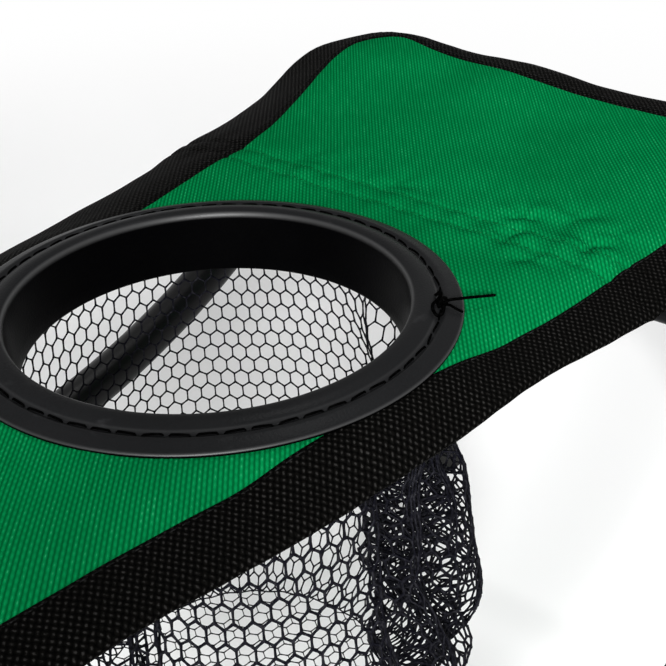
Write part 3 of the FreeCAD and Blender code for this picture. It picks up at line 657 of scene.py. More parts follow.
outer_edge = outline(half_outline(1, LEFT_EDGE, TAIL_END, TAIL_ROUND, head_end, HEAD_ROUND),
                     half_outline(-1, RIGHT_EDGE, TAIL_END, TAIL_ROUND, head_end, HEAD_ROUND))
inner_edge = outline(half_outline(1, LEFT_SEAM, TAIL_END + 22, 4.0, head_seam, 14.0),
                     half_outline(-1, RIGHT_SEAM, TAIL_END + 22, 4.0, head_seam, 14.0))
print("outline points:", len(outer_edge), "reach", outer_edge.min(0).round(1), outer_edge.max(0).round(1))

# %% [markdown]
# ## How the deck lies
# Between the bars the cloth is drawn flat, and past each bar it rolls down round it.
# Nothing holds its long edges between the bars, so the heavy binding lets them hang down a little.
# A cross seam in front of the cup puckers the cloth, and the cup ring pulls short creases into it.
# A cloth simulation would find the sag, but not these creases in their places, so the surface is a
# sum of small formulas: one for the bars, one for the sag, and one for each kind of crease.

# %% Where the deck is creased
SEAMS = (81.0, 90.0)
DIMPLES = ((99.4, -36.4, 1.9, 3.6), (94.4, -62.7, 2.1, 4.2), (86.0, -39.0, 1.3, 3.4), (97.0, 8.0, 0.9, 6.0),
           (96.0, 46.0, 0.8, 6.0), (76.0, -54.0, 1.0, 5.0), (108.0, -50.0, 1.2, 6.0),
           (104.0, -66.0, 1.0, 5.0))
HEAD_PUFF = ((-120, 2.0), (-97, 3.8), (-80, 3.2), (-60, 1.2), (-40, -0.3), (-15, -0.4), (0, 0.1), (10, 1.5),
             (20, 2.6), (30, 3.5), (40, 3.3), (50, 2.7), (60, 3.1), (70, 4.3), (80, 5.3), (90, 5.2),
             (100, 3.8), (110, 2.6), (120, 1.5))
SAG_REACH = 34.0
SAG_SLOPE = math.radians(27)

# %% Sag and creases


def edge_sag(u, v):
    """How far the long edges hang below the flat middle."""
    from_edge = half_width(u, v) - np.abs(v)
    reach = np.clip(SAG_REACH - from_edge, 0.0, SAG_REACH)
    held = 1 - ease(u, 140.0, 188.0) - ease(-u, 165.0, 203.0)
    ripple = 1 + 0.12 * np.sin(u / 19.0 + 0.6) * np.sign(v)
    clear_of_ring = ease(np.hypot(u, v), 64.0, 80.0)
    return reach ** 2 / (2 * SAG_REACH) * math.tan(SAG_SLOPE) * held * ripple * clear_of_ring


def creases(u, v):
    """Small heights in the free cloth: seams, gathers, dimples and pulls at the ring."""
    height = 0.0 * u
    for seam in SEAMS:
        height = height - 0.55 * bell(u, seam, 1.3)
    near_seam = np.exp(-np.abs(u - 86.0) / 12.0)
    height = height + 0.30 * near_seam * np.sin(v / 1.9 + 1.5 * soft_noise(u, v, 25.0, 3.0))
    height = height + 0.55 * near_seam * soft_noise(u, v, 11.0, 5.0)
    for spot_u, spot_v, depth, size in DIMPLES:
        away = np.hypot(u - spot_u, (v - spot_v) * 0.9)
        angle = np.arctan2(v - spot_v, u - spot_u)
        height = height - depth * bell(away, 0.0, size)
        height = height + 0.35 * depth * bell(away, 0.0, 3.2 * size) * np.cos(3 * angle + spot_v)
    from_ring = np.hypot(u, v) - 66.0
    around = np.arctan2(v, u)
    pull = np.exp(-np.clip(from_ring, 0, None) / 13.0)
    height = height + 0.25 * pull * np.sin(17 * around + 2.0 * soft_noise(around * 40, 0 * u, 20.0, 9.0))
    height = height + 0.9 * soft_noise(u, v, 60.0, 1.0) + 0.35 * soft_noise(u, v, 21.0, 2.0)
    return height * (1 - ease(np.abs(u), 186.0, 204.0)) * ease(from_ring, -6.0, 10.0)


# %% The deck's surface


def head_puff(u, v):
    """The doubled cloth lies in soft puffs along the wide end, and the frame's corners prop it up."""
    return eased_curve(v, *zip(*HEAD_PUFF)) * ease(u, 118.0, 200.0)


def deck_surface(u, v, lift):
    """Place of a point of the cut, so many millimetres above the middle of the cloth."""
    u = np.asarray(u, dtype=float)
    v = np.asarray(v, dtype=float)
    turn = np.maximum(np.abs(u) - BAR_X, 0.0) / WRAP
    proud = head_puff(u, v) * (0.35 + 0.65 * np.clip(np.cos(turn), 0, 1))
    x = np.sign(u) * (np.minimum(np.abs(u), BAR_X) + (WRAP + lift + proud) * np.sin(turn))
    z = BAR_Z + (WRAP + lift + proud) * np.cos(turn) - edge_sag(u, v)
    z = z + creases(u, v)
    return stacked(x, v, z)


print("the free edge hangs", round(float(edge_sag(BAR_X / 2, half_width(BAR_X / 2, 1.0))), 1),
      "mm below the middle of the cloth")

# %% [markdown]
# ## The deck cloth
# A grid of points covers the cut and the surface above lays it over the frame.  The cloth's raw edge
# stays a little inside the fold of the binding, which hides it.
# The ring's hole is cut out of the grid, and its ragged rim is pulled onto a circle under the flange.

# %% A grid with a round hole
CLOTH_HOLE = 60.0
CLOTH_INSET = 3.0


def deck_grid():
    stations = np.concatenate([np.linspace(TAIL_END + CLOTH_INSET, -186, 26),
                               np.linspace(-184.5, 184.5, 247),
                               np.linspace(186, HEAD_END - CLOTH_INSET, 30)])
    across = np.linspace(-1.0, 1.0, 133)
    u, t = np.meshgrid(stations, across, indexing="ij")
    half = half_width(u, t) - CLOTH_INSET
    head_step = np.clip(u - (HEAD_END - HEAD_ROUND), 0, HEAD_ROUND - 0.5)
    tail_step = np.clip((TAIL_END + TAIL_ROUND) - u, 0, TAIL_ROUND - 0.5)
    half = half - (HEAD_ROUND - np.sqrt(HEAD_ROUND ** 2 - head_step ** 2))
    half = half - (TAIL_ROUND - np.sqrt(TAIL_ROUND ** 2 - tail_step ** 2))
    return u, t * half


def cut_hole(u, v, faces):
    """Drop the faces inside the hole and pull the rim onto a circle."""
    reach = np.hypot(u, v)
    kept = faces[(reach[faces] > CLOTH_HOLE - 1.0).all(axis=1)]
    rim = (reach > CLOTH_HOLE - 1.0) & (reach < CLOTH_HOLE + 2.2)
    scale = np.where(rim, CLOTH_HOLE / np.maximum(reach, 1.0), 1.0)
    used = np.unique(kept)
    renumber = np.full(len(u), -1)
    renumber[used] = np.arange(len(used))
    return (u * scale)[used], (v * scale)[used], renumber[kept]


# %% The deck cloth
grid_u, grid_v = deck_grid()
cloth_u, cloth_v, cloth_faces = cut_hole(grid_u.ravel(), grid_v.ravel(), grid_faces(*grid_u.shape))
deck_cloth = add_piece("deck_cloth", deck_surface(cloth_u, cloth_v, 0.0), cloth_faces, GREEN,
                       stacked(cloth_u, cloth_v))
thicken(deck_cloth, 0.9)
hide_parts("target_band")

# %% [markdown]
# ## The binding
# A tape is folded over the raw edge of the cloth all the way round and sewn down.
# A curve with a bevel could draw it, but it wouldn't lie on the cloth's creases.  So its cross-section
# (a flat top, a round fold at the outside, a flat back) is swept along the outline on the same surface.
# The fold wanders a little, as a sewn edge does.

# %% The binding
TAPE_SECTION = (
    (24.0, -0.1), (23.6, 0.75), (22.0, 1.15), (19.5, 1.25), (17.0, 1.28), (14.5, 1.3), (12.0, 1.3),
    (9.5, 1.3), (7.0, 1.28), (5.0, 1.25), (3.4, 1.2), (2.0, 1.1), (0.6, 0.6), (0.0, -0.2),
    (0.5, -1.0), (2.0, -1.5), (7.0, -1.6), (12.0, -1.6), (17.0, -1.55), (21.0, -1.5), (22.6, -0.9))


def sweep_binding():
    count = len(outer_edge)
    walked = walk(outer_edge)
    still = 0 * walked
    wander = 0.45 * soft_noise(walked, still, 9.0, 7.0) + 0.5 * soft_noise(walked, still, 45.0, 8.0)
    points, flat = [], []
    for inwards, lift in TAPE_SECTION:
        share = inwards / TAPE_SECTION[0][0]
        loose = wander * (1 - 0.75 * share)
        spot = outer_edge + (inner_edge - outer_edge) * (share - loose[:, None] / TAPE_SECTION[0][0])
        puff = 0.22 * soft_noise(walked, still + inwards * 2.0, 13.0, 11.0) * math.sin(math.pi * share)
        clear = np.where(np.abs(spot[:, 0]) < 70, 0.0, puff)
        points.append(deck_surface(spot[:, 0], spot[:, 1], lift + clear * (lift > 0)))
        flat.append(stacked(spot[:, 0], spot[:, 1] + (3.0 * lift if lift < 0 else 0.0)))
    faces = grid_faces(count, len(TAPE_SECTION), True, True)
    return np.stack(points, axis=1), faces, np.stack(flat, axis=1)


binding_points, binding_faces, binding_flat = sweep_binding()
binding = add_piece("binding", binding_points, binding_faces, BINDING, binding_flat)
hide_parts("band_binding")
print("binding:", len(binding_faces), "faces")

# %% [markdown]
# ## Stitches
# A lockstitch shows as a row of short dashes that dip into the cloth at both ends.
# Dashes in the colour would have no thread to catch the light, so each dash is a small bent tube with
# pointed ends, and one function sews a whole row along a line.

# %% Sewing a row of stitches


def tube_along(lines, radii, sides=6):
    """Tubes along many short lines: lines is (count, stations, 3), radii is (stations,)."""
    lines = np.asarray(lines, dtype=float)
    count, stations, _ = lines.shape
    ahead = np.gradient(lines, axis=1)
    ahead /= np.linalg.norm(ahead, axis=2, keepdims=True)
    up_hint = np.where(np.abs(ahead[..., 2:3]) > 0.9, [[[1.0, 0.0, 0.0]]], [[[0.0, 0.0, 1.0]]])
    side = np.cross(ahead, up_hint)
    side /= np.linalg.norm(side, axis=2, keepdims=True)
    over = np.cross(side, ahead)
    angle = np.arange(sides) * 2 * math.pi / sides
    ring = side[:, :, None, :] * np.cos(angle)[:, None] + over[:, :, None, :] * np.sin(angle)[:, None]
    points = lines[:, :, None, :] + ring * np.asarray(radii)[:, None, None]
    quads = grid_faces(stations, sides, False, True)
    offsets = np.arange(count)[:, None, None] * stations * sides
    return points.reshape(-1, 3), (quads[None] + offsets).reshape(-1, 4)


def dashes(start, finish, pitch, length, height, dip):
    """Stitch lines between two parameters of a row: the share along it and the height of each point."""
    count = int(round((finish - start) / pitch))
    middles = start + (np.arange(count) + 0.5) * (finish - start) / count
    shares = np.array([-0.5, -0.38, 0.0, 0.38, 0.5]) * length
    lifts = np.array([-dip, height * 0.7, height, height * 0.7, -dip])
    return middles[:, None] + shares[None, :], np.broadcast_to(lifts, (count, 5))


def join_pieces(parts):
    """Join the points and faces of several tubes."""
    points, faces, base = [], [], 0
    for some_points, some_faces in parts:
        points.append(some_points)
        faces.append(some_faces + base)
        base += len(some_points)
    return np.vstack(points), np.vstack(faces)


# %% Stitches of the cross seam
seam_rows = []
for seam in SEAMS:
    row_start = 1.0 - float(eased_curve(seam, ALONG, RIGHT_SEAM))
    row_end = float(eased_curve(seam, ALONG, LEFT_SEAM)) - 1.0
    reach, lift = dashes(row_start, row_end, 3.4, 2.5, 0.35, 0.9)
    seam_rows.append(tube_along(deck_surface(np.full_like(reach, seam), reach, 0.3 + lift),
                                (0.1, 0.2, 0.22, 0.2, 0.1)))
seam_points, seam_faces = join_pieces(seam_rows)
seam_stitches = add_piece("seam_stitches", seam_points, seam_faces, GREEN_THREAD)
print("cross seam:", len(seam_faces), "faces")

# %% Stitches of the binding
RING_CLEAR = 69.5


def binding_stitch_lines(share, lift_above):
    """Stitch lines at a share of the tape's width; none is sewn under the ring's flange."""
    row = outer_edge + (inner_edge - outer_edge) * share
    closed = np.vstack([row, row[:1]])
    walked = walk(closed)
    reach, lift = dashes(0.0, walked[-1], 3.2, 2.3, 0.05, 0.5)
    u = np.interp(reach % walked[-1], walked, closed[:, 0])
    v = np.interp(reach % walked[-1], walked, closed[:, 1])
    clear = np.hypot(u, v)[:, 2] > RING_CLEAR
    return deck_surface(u, v, lift_above + lift)[clear]


row_points, row_faces = tube_along(binding_stitch_lines(0.91, 1.15), (0.08, 0.16, 0.17, 0.16, 0.08))
binding_stitches = add_piece("binding_stitches", row_points, row_faces, THREAD)
print("binding stitches:", len(row_faces), "faces")

# %% [markdown]
# ## The bar pockets
# Each end bar lies in a loop of the same green cloth.  The loop starts on the bar's top, goes round
# its outside and runs back under the deck to a seam.  Its loose run sags a little between seam and bar.
# The loop is the same all the way across, so one profile is drawn and a grid of points carries it.

# %% The bar pockets
POCKET_REACH = 8.75


def pocket_profile(seam, sag):
    """Points of the loop in the X, Z plane for a bar on the +X side."""
    share = np.linspace(0, 1, 40)
    run = stacked(seam + (BAR_X - seam) * share,
                  -2.3 + (BAR_Z - POCKET_REACH + 2.3) * share - sag * np.sin(math.pi * share))
    turn = np.radians(np.linspace(-90, 38, 40))
    loop = stacked(BAR_X + POCKET_REACH * np.cos(turn), BAR_Z + POCKET_REACH * np.sin(turn))
    return np.vstack([run, loop[1:]])


def add_pocket(name, node, side, seam, bar_half, seam_half, sag):
    """Make one pocket; it is bar_half wide each way at the bar and seam_half at the seam."""
    profile = pocket_profile(seam, sag)
    lengths = walk(profile)
    across = np.linspace(-bar_half, bar_half, 70)
    along, y = np.meshgrid(lengths, across, indexing="ij")
    x = np.interp(along, lengths, profile[:, 0])
    z = np.interp(along, lengths, profile[:, 1])
    free = np.sin(math.pi * np.clip(along / (BAR_X - seam), 0, 1))
    z = z - free * (0.7 + 0.9 * soft_noise(along, y, 24.0, 4.0 + side))
    spread = ease(along, 0.0, BAR_X - seam)
    y = y / bar_half * (seam_half + (bar_half - seam_half) * spread)
    piece = add_piece(name, stacked(side * x, y, z), grid_faces(*along.shape), GREEN, stacked(along, y))
    thicken(piece, 0.6)
    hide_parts(node)
    print(name, "cut", round(bar_half + seam_half), "by", round(lengths[-1]), "mm")


add_pocket("front_pocket_cloth", "front_pocket", 1, seam=85.0, bar_half=94.0, seam_half=74.0, sag=1.5)
add_pocket("rear_pocket_cloth", "rear_pocket", -1, seam=165.0, bar_half=50.0, seam_half=46.0, sag=0.2)

# %% [markdown]
# ## The cup ring
# The real ring is a moulding: a domed flange that is sewn on through a shallow groove, a rolled rim,
# and a collar that narrows downwards.  It is turned from one profile, like the CAD ring, but with
# every edge rounded, so that the rim catches a soft line of light.

# %% The cup ring
RING_PROFILE = (
    (68.0, 0.05), (68.15, 0.5), (67.9, 1.0), (67.2, 1.35), (66.0, 1.75), (64.6, 2.25), (63.7, 2.5),
    (63.1, 2.42), (62.6, 2.05), (62.0, 1.9), (61.4, 2.1), (60.9, 2.6), (60.2, 3.0), (59.0, 3.4),
    (57.8, 3.68), (56.6, 3.75), (55.4, 3.55), (54.6, 3.05), (54.15, 2.3), (54.0, 1.3), (53.8, -1.0),
    (53.2, -6.0), (52.6, -11.0), (52.2, -14.4), (52.35, -14.9), (52.9, -15.0), (53.6, -14.9), (54.1, -14.5),
    (54.7, -10.0), (55.5, -4.0), (56.1, -0.6), (58.0, -0.15), (62.0, 0.0), (66.0, 0.0))


def turn_profile(profile, count, name, finish):
    """Turn a closed profile of radius and height once round the cup's axis."""
    radius, height = np.transpose(profile)
    around = (np.arange(count) * 2 * math.pi / count)[:, None]
    faces = grid_faces(count, len(profile), True, True)[:, ::-1]
    return add_piece(name, stacked(radius * np.cos(around), radius * np.sin(around), height), faces, finish)


cup_ring = turn_profile(RING_PROFILE, 192, "cup_ring_moulding", RING_PLASTIC)
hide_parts("cup_ring")
print("cup ring:", len(cup_ring.data.polygons), "faces")

# %% [markdown]
# ## The ring's stitches and its thread tail
# Long hand-like stitches lie in the groove.  Where the sewing ends, the thread is knotted and a short
# tail sticks out across the flange.  The stitches are the same bent tubes as in the seams, a little out
# of line.  Curve objects could draw the knot, but a tube along a smooth line joins the stitches' mesh.

# %% Stitches round the ring
STITCH_CIRCLE = 62.0
STITCH_COUNT = 62


def ring_point(radius, angle, height):
    return stacked(radius * np.cos(angle), radius * np.sin(angle), height)


stitch_angle, stitch_lift = dashes(0.0, 2 * math.pi, 2 * math.pi / STITCH_COUNT, 0.086, 0.25, 0.4)
stitch_step = np.arange(STITCH_COUNT)
lean = 0.35 * np.sin(stitch_step * 2.4)[:, None] * np.array([-1.0, -0.7, 0.0, 0.7, 1.0])
ring_lines = ring_point(STITCH_CIRCLE + lean, stitch_angle, 2.15 + stitch_lift)
ring_row = tube_along(ring_lines, (0.16, 0.27, 0.3, 0.27, 0.16), sides=8)
print("stitches round the ring:", STITCH_COUNT)

# %% Threads through a few points


def smooth_line(points, per_span=8):
    """A smooth curve through a few points."""
    points = np.asarray(points, dtype=float)
    padded = np.vstack([2 * points[0] - points[1], points, 2 * points[-1] - points[-2]])
    out = []
    for i in range(len(points) - 1):
        a, b, c, d = padded[i:i + 4]
        t = np.linspace(0, 1, per_span, endpoint=False)[:, None]
        out.append(0.5 * (2 * b + (c - a) * t + (2 * a - 5 * b + 4 * c - d) * t ** 2
                          + (3 * b - a - 3 * c + d) * t ** 3))
    return np.vstack(out + [points[-1:]])


def thread_line(points, radius):
    line = smooth_line(points)
    radii = np.full(len(line), radius)
    radii[0] = radii[-1] = radius * 0.45
    return tube_along(line[None], radii, 8)


# %% The thread tail and its knot
tail = thread_line([(33.0, -51.8, 3.0), (35.6, -53.2, 3.7), (38.5, -54.8, 3.4), (42.0, -56.8, 2.9),
                    (45.4, -58.6, 2.3), (48.2, -59.6, 1.6)], 0.42)
stub = thread_line([(33.4, -52.6, 3.0), (33.8, -54.6, 3.5), (34.4, -56.6, 2.6), (35.2, -58.0, 1.9)], 0.36)
loop = thread_line([(36.9, -47.6, 2.6), (37.5, -49.0, 3.9), (35.6, -50.6, 4.3), (33.0, -51.0, 4.0),
                    (30.5, -51.6, 4.1), (28.6, -53.2, 3.7), (28.2, -54.8, 3.0), (30.2, -55.0, 3.1),
                    (33.2, -53.2, 3.6), (34.6, -51.4, 3.5)], 0.45)
knot = thread_line([(32.6, -52.2, 2.4), (34.0, -50.8, 3.5), (35.2, -52.2, 4.2), (33.8, -53.6, 3.8),
                    (32.6, -52.6, 3.2), (33.8, -51.6, 3.6), (34.8, -52.8, 3.0)], 0.5)
ring_points, ring_faces = join_pieces([ring_row, tail, stub, loop, knot])
ring_stitches = add_piece("ring_stitches", ring_points, ring_faces, RING_THREAD)
print("ring stitches:", len(ring_faces), "faces, with a knot and a tail of about 17 mm")

# %% [markdown]
# ## Netting
# Both nets are knitted: six-sided holes whose sides are single yarns, thicker where they are looped
# together.  Alpha holes in a flat sheet would look printed, so each yarn is a thin tube.
# The mesh is first drawn flat as rows of zigzags joined by short uprights, then a formula lays it on
# its surface.

# %% A flat six-sided mesh


def hexagon_mesh(columns, rows, column_pitch, row_pitch, zigzag, closed):
    """Corners (x, y) of a mesh and the pairs of corners that yarns join."""
    wide = 2 * columns if closed else 2 * columns + 1
    k, j = np.meshgrid(np.arange(wide), np.arange(rows), indexing="ij")
    odd = (k + j) % 2
    x = k * column_pitch / 2
    y = j * row_pitch + np.where(odd == 0, 0.5, -0.5) * zigzag
    number = k * rows + j
    pairs = []
    last = wide if closed else wide - 1
    pairs.append(np.stack([number[:last], number[(np.arange(last) + 1) % wide]], axis=-1).reshape(-1, 2))
    upright = (odd[:, :-1] == 0)
    pairs.append(np.stack([number[:, :-1][upright], number[:, 1:][upright]], axis=-1))
    return stacked(x.ravel(), y.ravel()), np.vstack(pairs)


# %% Cutting a mesh along a boundary


def clip_mesh(corners, pairs, inside):
    """Keep yarns inside a boundary and shorten those that cross it."""
    within = inside(corners[:, 0], corners[:, 1])[pairs]
    kept = pairs[within.all(axis=1)]
    crosses = within.any(axis=1) & ~within.all(axis=1)
    crossing = pairs[crosses]
    first = np.where(within[crosses, 0], crossing[:, 0], crossing[:, 1])
    last = crossing.sum(axis=1) - first
    run = corners[last] - corners[first]
    low, high = np.zeros(len(first)), np.ones(len(first))
    for _ in range(12):
        share = (low + high) / 2
        reached = inside(*(corners[first] + run * share[:, None]).T)
        low, high = np.where(reached, share, low), np.where(reached, high, share)
    ends = corners[first] + run * low[:, None]
    new_pairs = np.stack([first, len(corners) + np.arange(len(first))], axis=1)
    return np.vstack([corners, ends]), np.vstack([kept, new_pairs])


# %% Yarns as tubes


def yarn_tubes(points, outward, pairs, radii, sides=4, share=1.0):
    """A tube with three stations along each pair of points, lying on a surface.

    The share makes single yarns thinner, as where the net is stretched."""
    first, second = points[pairs[:, 0]], points[pairs[:, 1]]
    normal = outward[pairs[:, 0]] + outward[pairs[:, 1]]
    normal /= np.linalg.norm(normal, axis=1, keepdims=True) + 1e-9
    ahead = second - first
    length = np.linalg.norm(ahead, axis=1, keepdims=True)
    ahead = ahead / (length + 1e-9)
    side = np.cross(ahead, normal)
    side /= np.linalg.norm(side, axis=1, keepdims=True) + 1e-9
    over = np.cross(side, ahead)
    stations = np.stack([first - ahead * radii[0] * 0.5, (first + second) / 2,
                         second + ahead * radii[0] * 0.5], axis=1)
    angle = (np.arange(sides) + 0.5) * 2 * math.pi / sides
    ring = side[:, None, :] * np.cos(angle)[:, None] + over[:, None, :] * np.sin(angle)[:, None]
    thick = np.array([radii[0], radii[1], radii[0]])
    ring = ring * np.reshape(share, (-1, 1, 1))
    tube = stations[:, :, None, :] + ring[:, None] * thick[None, :, None, None]
    quads = grid_faces(3, sides, False, True)
    offsets = np.arange(len(pairs))[:, None, None] * 3 * sides
    return tube.reshape(-1, 3), (quads[None] + offsets).reshape(-1, 4)


# %% [markdown]
# ## The ball bag
# The bag hangs from under the ring, widens to its belly and is drawn together at its floor.
# More net was gathered than the ring's edge needs: the far left side hangs smooth, and at the rear and
# on the right the spare width falls in deep, crowded pleats.  The floor is a flat round of finer yarn.
# A simulation would let the pleats fall anywhere, so a closed line round the bag is drawn for each
# level, pleats and all.  The mesh's columns are spread evenly along the fullest line, so a hole keeps
# its size in the folds, and crowd together at the top.

# %% Measures of the bag
BAG_COLUMNS = 128
BAG_ROW = 5.6
BAG_PROFILE = ((64.8, -2.4), (66.2, -14.0), (68.4, -32.0), (71.2, -52.0), (74.6, -74.0), (76.4, -92.0),
               (75.4, -107.0), (71.5, -120.0), (65.0, -131.0), (56.0, -138.5), (48.0, -141.5))
FLOOR_EDGE = 48.0
FLOOR_RISE = -141.5
FLOOR_COLUMN = 5.0
FLOOR_ROW = 4.4
FLOOR_COLUMNS = 24
FLOOR_ROWS = 28
FLOOR_TURN = math.radians(24)
PLEATS = ((-176, 8.0, 7.0), (-165, 10.0, 7.0), (-154, 7.0, 6.0), (-96, 10.0, 8.0),
          (-87, 15.0, 8.0), (-78, 12.0, 8.0), (-69, 15.0, 9.0), (-60, 13.0, 8.0), (-51, 15.0, 9.0),
          (-42, 13.0, 8.0), (-33, 14.0, 9.0), (-23, 10.0, 8.0), (-12, 7.0, 9.0), (3, 4.0, 12.0))
SMALL_PLEATS = ((40, 1.2, 14.0), (78, 1.6, 16.0), (128, 1.2, 12.0), (165, 1.4, 16.0))
NECK_AT = -58.0
NECK_WIDTH = 26.0
NECK_SHAPE = ((4.5, 17.0, 6.0), (-6.5, 33.0, 9.0), (-2.0, 75.0, 25.0))
REAR_PULL = 25.0
REAR_WIDTH = 27.0
LEVEL_STEP = 1.5
FULLEST_LEVEL = 60
print("bag:", len(PLEATS), "deep pleats and", len(SMALL_PLEATS), "small ones")

# %% Lines round the bag


def bag_levels(step):
    """Radius, height and distance down the bag at even steps."""
    line = smooth_line([(r, 0.0, z) for r, z in BAG_PROFILE], 24)[:, (0, 2)]
    walked = walk(line)
    down = np.arange(0.0, walked[-1], step)
    return np.interp(down, walked, line[:, 0]), np.interp(down, walked, line[:, 1]), down, walked[-1]


def bag_line(radius, height, down, depth):
    """A dense closed line round the bag at one level."""
    around = np.radians(np.linspace(-180, 180, 1441)[:-1])
    degrees = np.degrees(around)
    deep = ease(down, 1.0, 45.0) * (1 - ease(down, depth * 0.66, depth * 0.98))
    bulge = 1 + 0.03 * np.sin(2 * around + 0.8) + 0.02 * np.sin(3 * around - down / 45.0)
    reach = radius * (1 + (bulge - 1) * ease(down, 5.0, 60.0) * (1 - ease(down, depth - 30.0, depth)))
    rear = (degrees + 360) % 360 - 180
    drawn_in = REAR_PULL * ease(down, 16.0, 50.0) * (1 - ease(down, depth - 45.0, depth))
    reach = reach - drawn_in * bell(rear, 0.0, REAR_WIDTH)
    neck = sum(swell * bell(down, level, spread) for swell, level, spread in NECK_SHAPE)
    reach = reach + bell(degrees, NECK_AT, NECK_WIDTH) * neck
    reach = np.where(down > depth - 1.5, radius, reach)
    slide = 0 * around
    for at, fold, width in PLEATS + SMALL_PLEATS:
        drift = at + 5.0 * math.sin(down / 31.0 + at) + 3.0 * math.sin(down / 13.0 + 2.1 * at)
        away = (degrees - drift + 180) % 360 - 180
        shape = bell(away, 0.0, width * 0.38)
        fold_here = min(fold * deep * (1 + 0.35 * math.sin(down / 17.0 + at * 1.7)), radius * 0.5)
        reach = reach - fold_here * shape
        slide = slide + fold_here * 0.42 * shape * math.sin(down / 23.0 + at * 0.9)
    x = reach * np.cos(around) - slide * np.sin(around)
    y = reach * np.sin(around) + slide * np.cos(around)
    return stacked(x, y, height)


# %% Columns down the bag


def bag_table(columns):
    """Places down each column, for (levels, columns, 3): columns keep their place in the folds."""
    radii, heights, downs, depth = bag_levels(LEVEL_STEP)
    lines = [bag_line(radius, height, down, depth) for radius, height, down in zip(radii, heights, downs)]
    closed = np.array([np.vstack([line, line[:1]]) for line in lines])
    fullest = closed[int(FULLEST_LEVEL / LEVEL_STEP)]
    walked = walk(fullest)
    print("line round the bag at", FULLEST_LEVEL, "mm down:", round(walked[-1]), "mm")
    share = np.interp(np.arange(columns) / columns * walked[-1], walked, np.arange(len(walked)))
    first = np.clip(share.astype(int), 0, len(walked) - 2)
    part = (share - first)[None, :, None]
    return closed[:, first] * (1 - part) + closed[:, first + 1] * part, downs, depth


# %% The bag's wall
table, downs, bag_length = bag_table(2 * BAG_COLUMNS)
bag_rows = int(round(bag_length / BAG_ROW))
row_pitch = (bag_length - 2.2) / (bag_rows - 1)
flat_corners, bag_pairs = hexagon_mesh(BAG_COLUMNS, bag_rows, 2.0, row_pitch, row_pitch * 0.34, True)
column_index = np.round(flat_corners[:, 0]).astype(int) % (2 * BAG_COLUMNS)
jitter = 0.25 * soft_noise(flat_corners[:, 0] * 2.7, flat_corners[:, 1], 4.0, 6.0)
depth_of = np.clip(flat_corners[:, 1] + 1.2 + jitter * 1.4, 0.0, bag_length - 0.1)
level_share = depth_of / LEVEL_STEP
lower = np.clip(level_share.astype(int), 0, len(downs) - 2)
blend_share = (level_share - lower)[:, None]
bag_corners = table[lower, column_index] * (1 - blend_share) + table[lower + 1, column_index] * blend_share
bag_out = bag_corners * (1, 1, 0) + (0, 0, 1e-6)
bag_out /= np.linalg.norm(bag_out, axis=1, keepdims=True)
middle = bag_corners[bag_pairs].mean(axis=1)
far_side = np.cos(np.arctan2(middle[:, 1], middle[:, 0]) - math.radians(45))
stretch = 1 - 0.25 * ease(far_side, -0.35, 0.45)
wall_points, wall_faces = yarn_tubes(bag_corners, bag_out, bag_pairs, (0.54, 0.39), 3, stretch)
print("bag wall:", len(bag_pairs), "yarns in", bag_rows, "rows")

# %% The bag's floor


def lay_floor(x, y):
    """Lay a point of the flat round on the bag's floor, which sags in soft lumps."""
    free = 1 - np.clip(np.hypot(x, y) / FLOOR_EDGE, 0, 1) ** 2
    lumps = 1.4 * np.sin(x / 15.0 + 0.5) * np.cos(y / 12.0) * free
    return stacked(x, y, FLOOR_RISE - 3.2 * free + lumps)


def on_floor(x, y):
    return np.hypot(x, y) < FLOOR_EDGE


round_flat, round_pairs = hexagon_mesh(FLOOR_COLUMNS, FLOOR_ROWS, FLOOR_COLUMN, FLOOR_ROW, 1.5, False)
round_flat = round_flat - (FLOOR_COLUMNS * FLOOR_COLUMN / 2, FLOOR_ROWS * FLOOR_ROW / 2)
cosine, sine = math.cos(FLOOR_TURN), math.sin(FLOOR_TURN)
round_flat = round_flat @ np.array([[cosine, sine], [-sine, cosine]])
round_flat, round_pairs = clip_mesh(round_flat, round_pairs, on_floor)
round_corners = lay_floor(round_flat[:, 0], round_flat[:, 1])
round_out = np.tile([[0.01, 0.0, -1.0]], (len(round_corners), 1))
round_points, round_faces = yarn_tubes(round_corners, round_out, round_pairs, (0.26, 0.18))
print("bag floor:", len(round_pairs), "yarns")

# %% The whole bag
seam_turn = np.linspace(0, 2 * math.pi, 121)
seam_line = ring_point(FLOOR_EDGE, seam_turn, FLOOR_RISE + 0.3 * np.sin(seam_turn * 30))
join_points, join_faces = thread_line(seam_line, 0.26)
bag_points, bag_faces = join_pieces([(wall_points, wall_faces), (round_points, round_faces),
                                     (join_points, join_faces)])
ball_bag = add_piece("ball_bag_netting", bag_points, bag_faces, NETTING)
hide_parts("ball_net")
print("ball bag:", len(bag_faces) * 2, "triangles")

# %% [markdown]
# ## The hoop's own plane
# The backstop leans back about the hinges. So they are drawn in the plane of the hoop, with the origin
# on the hinge axis, and one function leans their points.

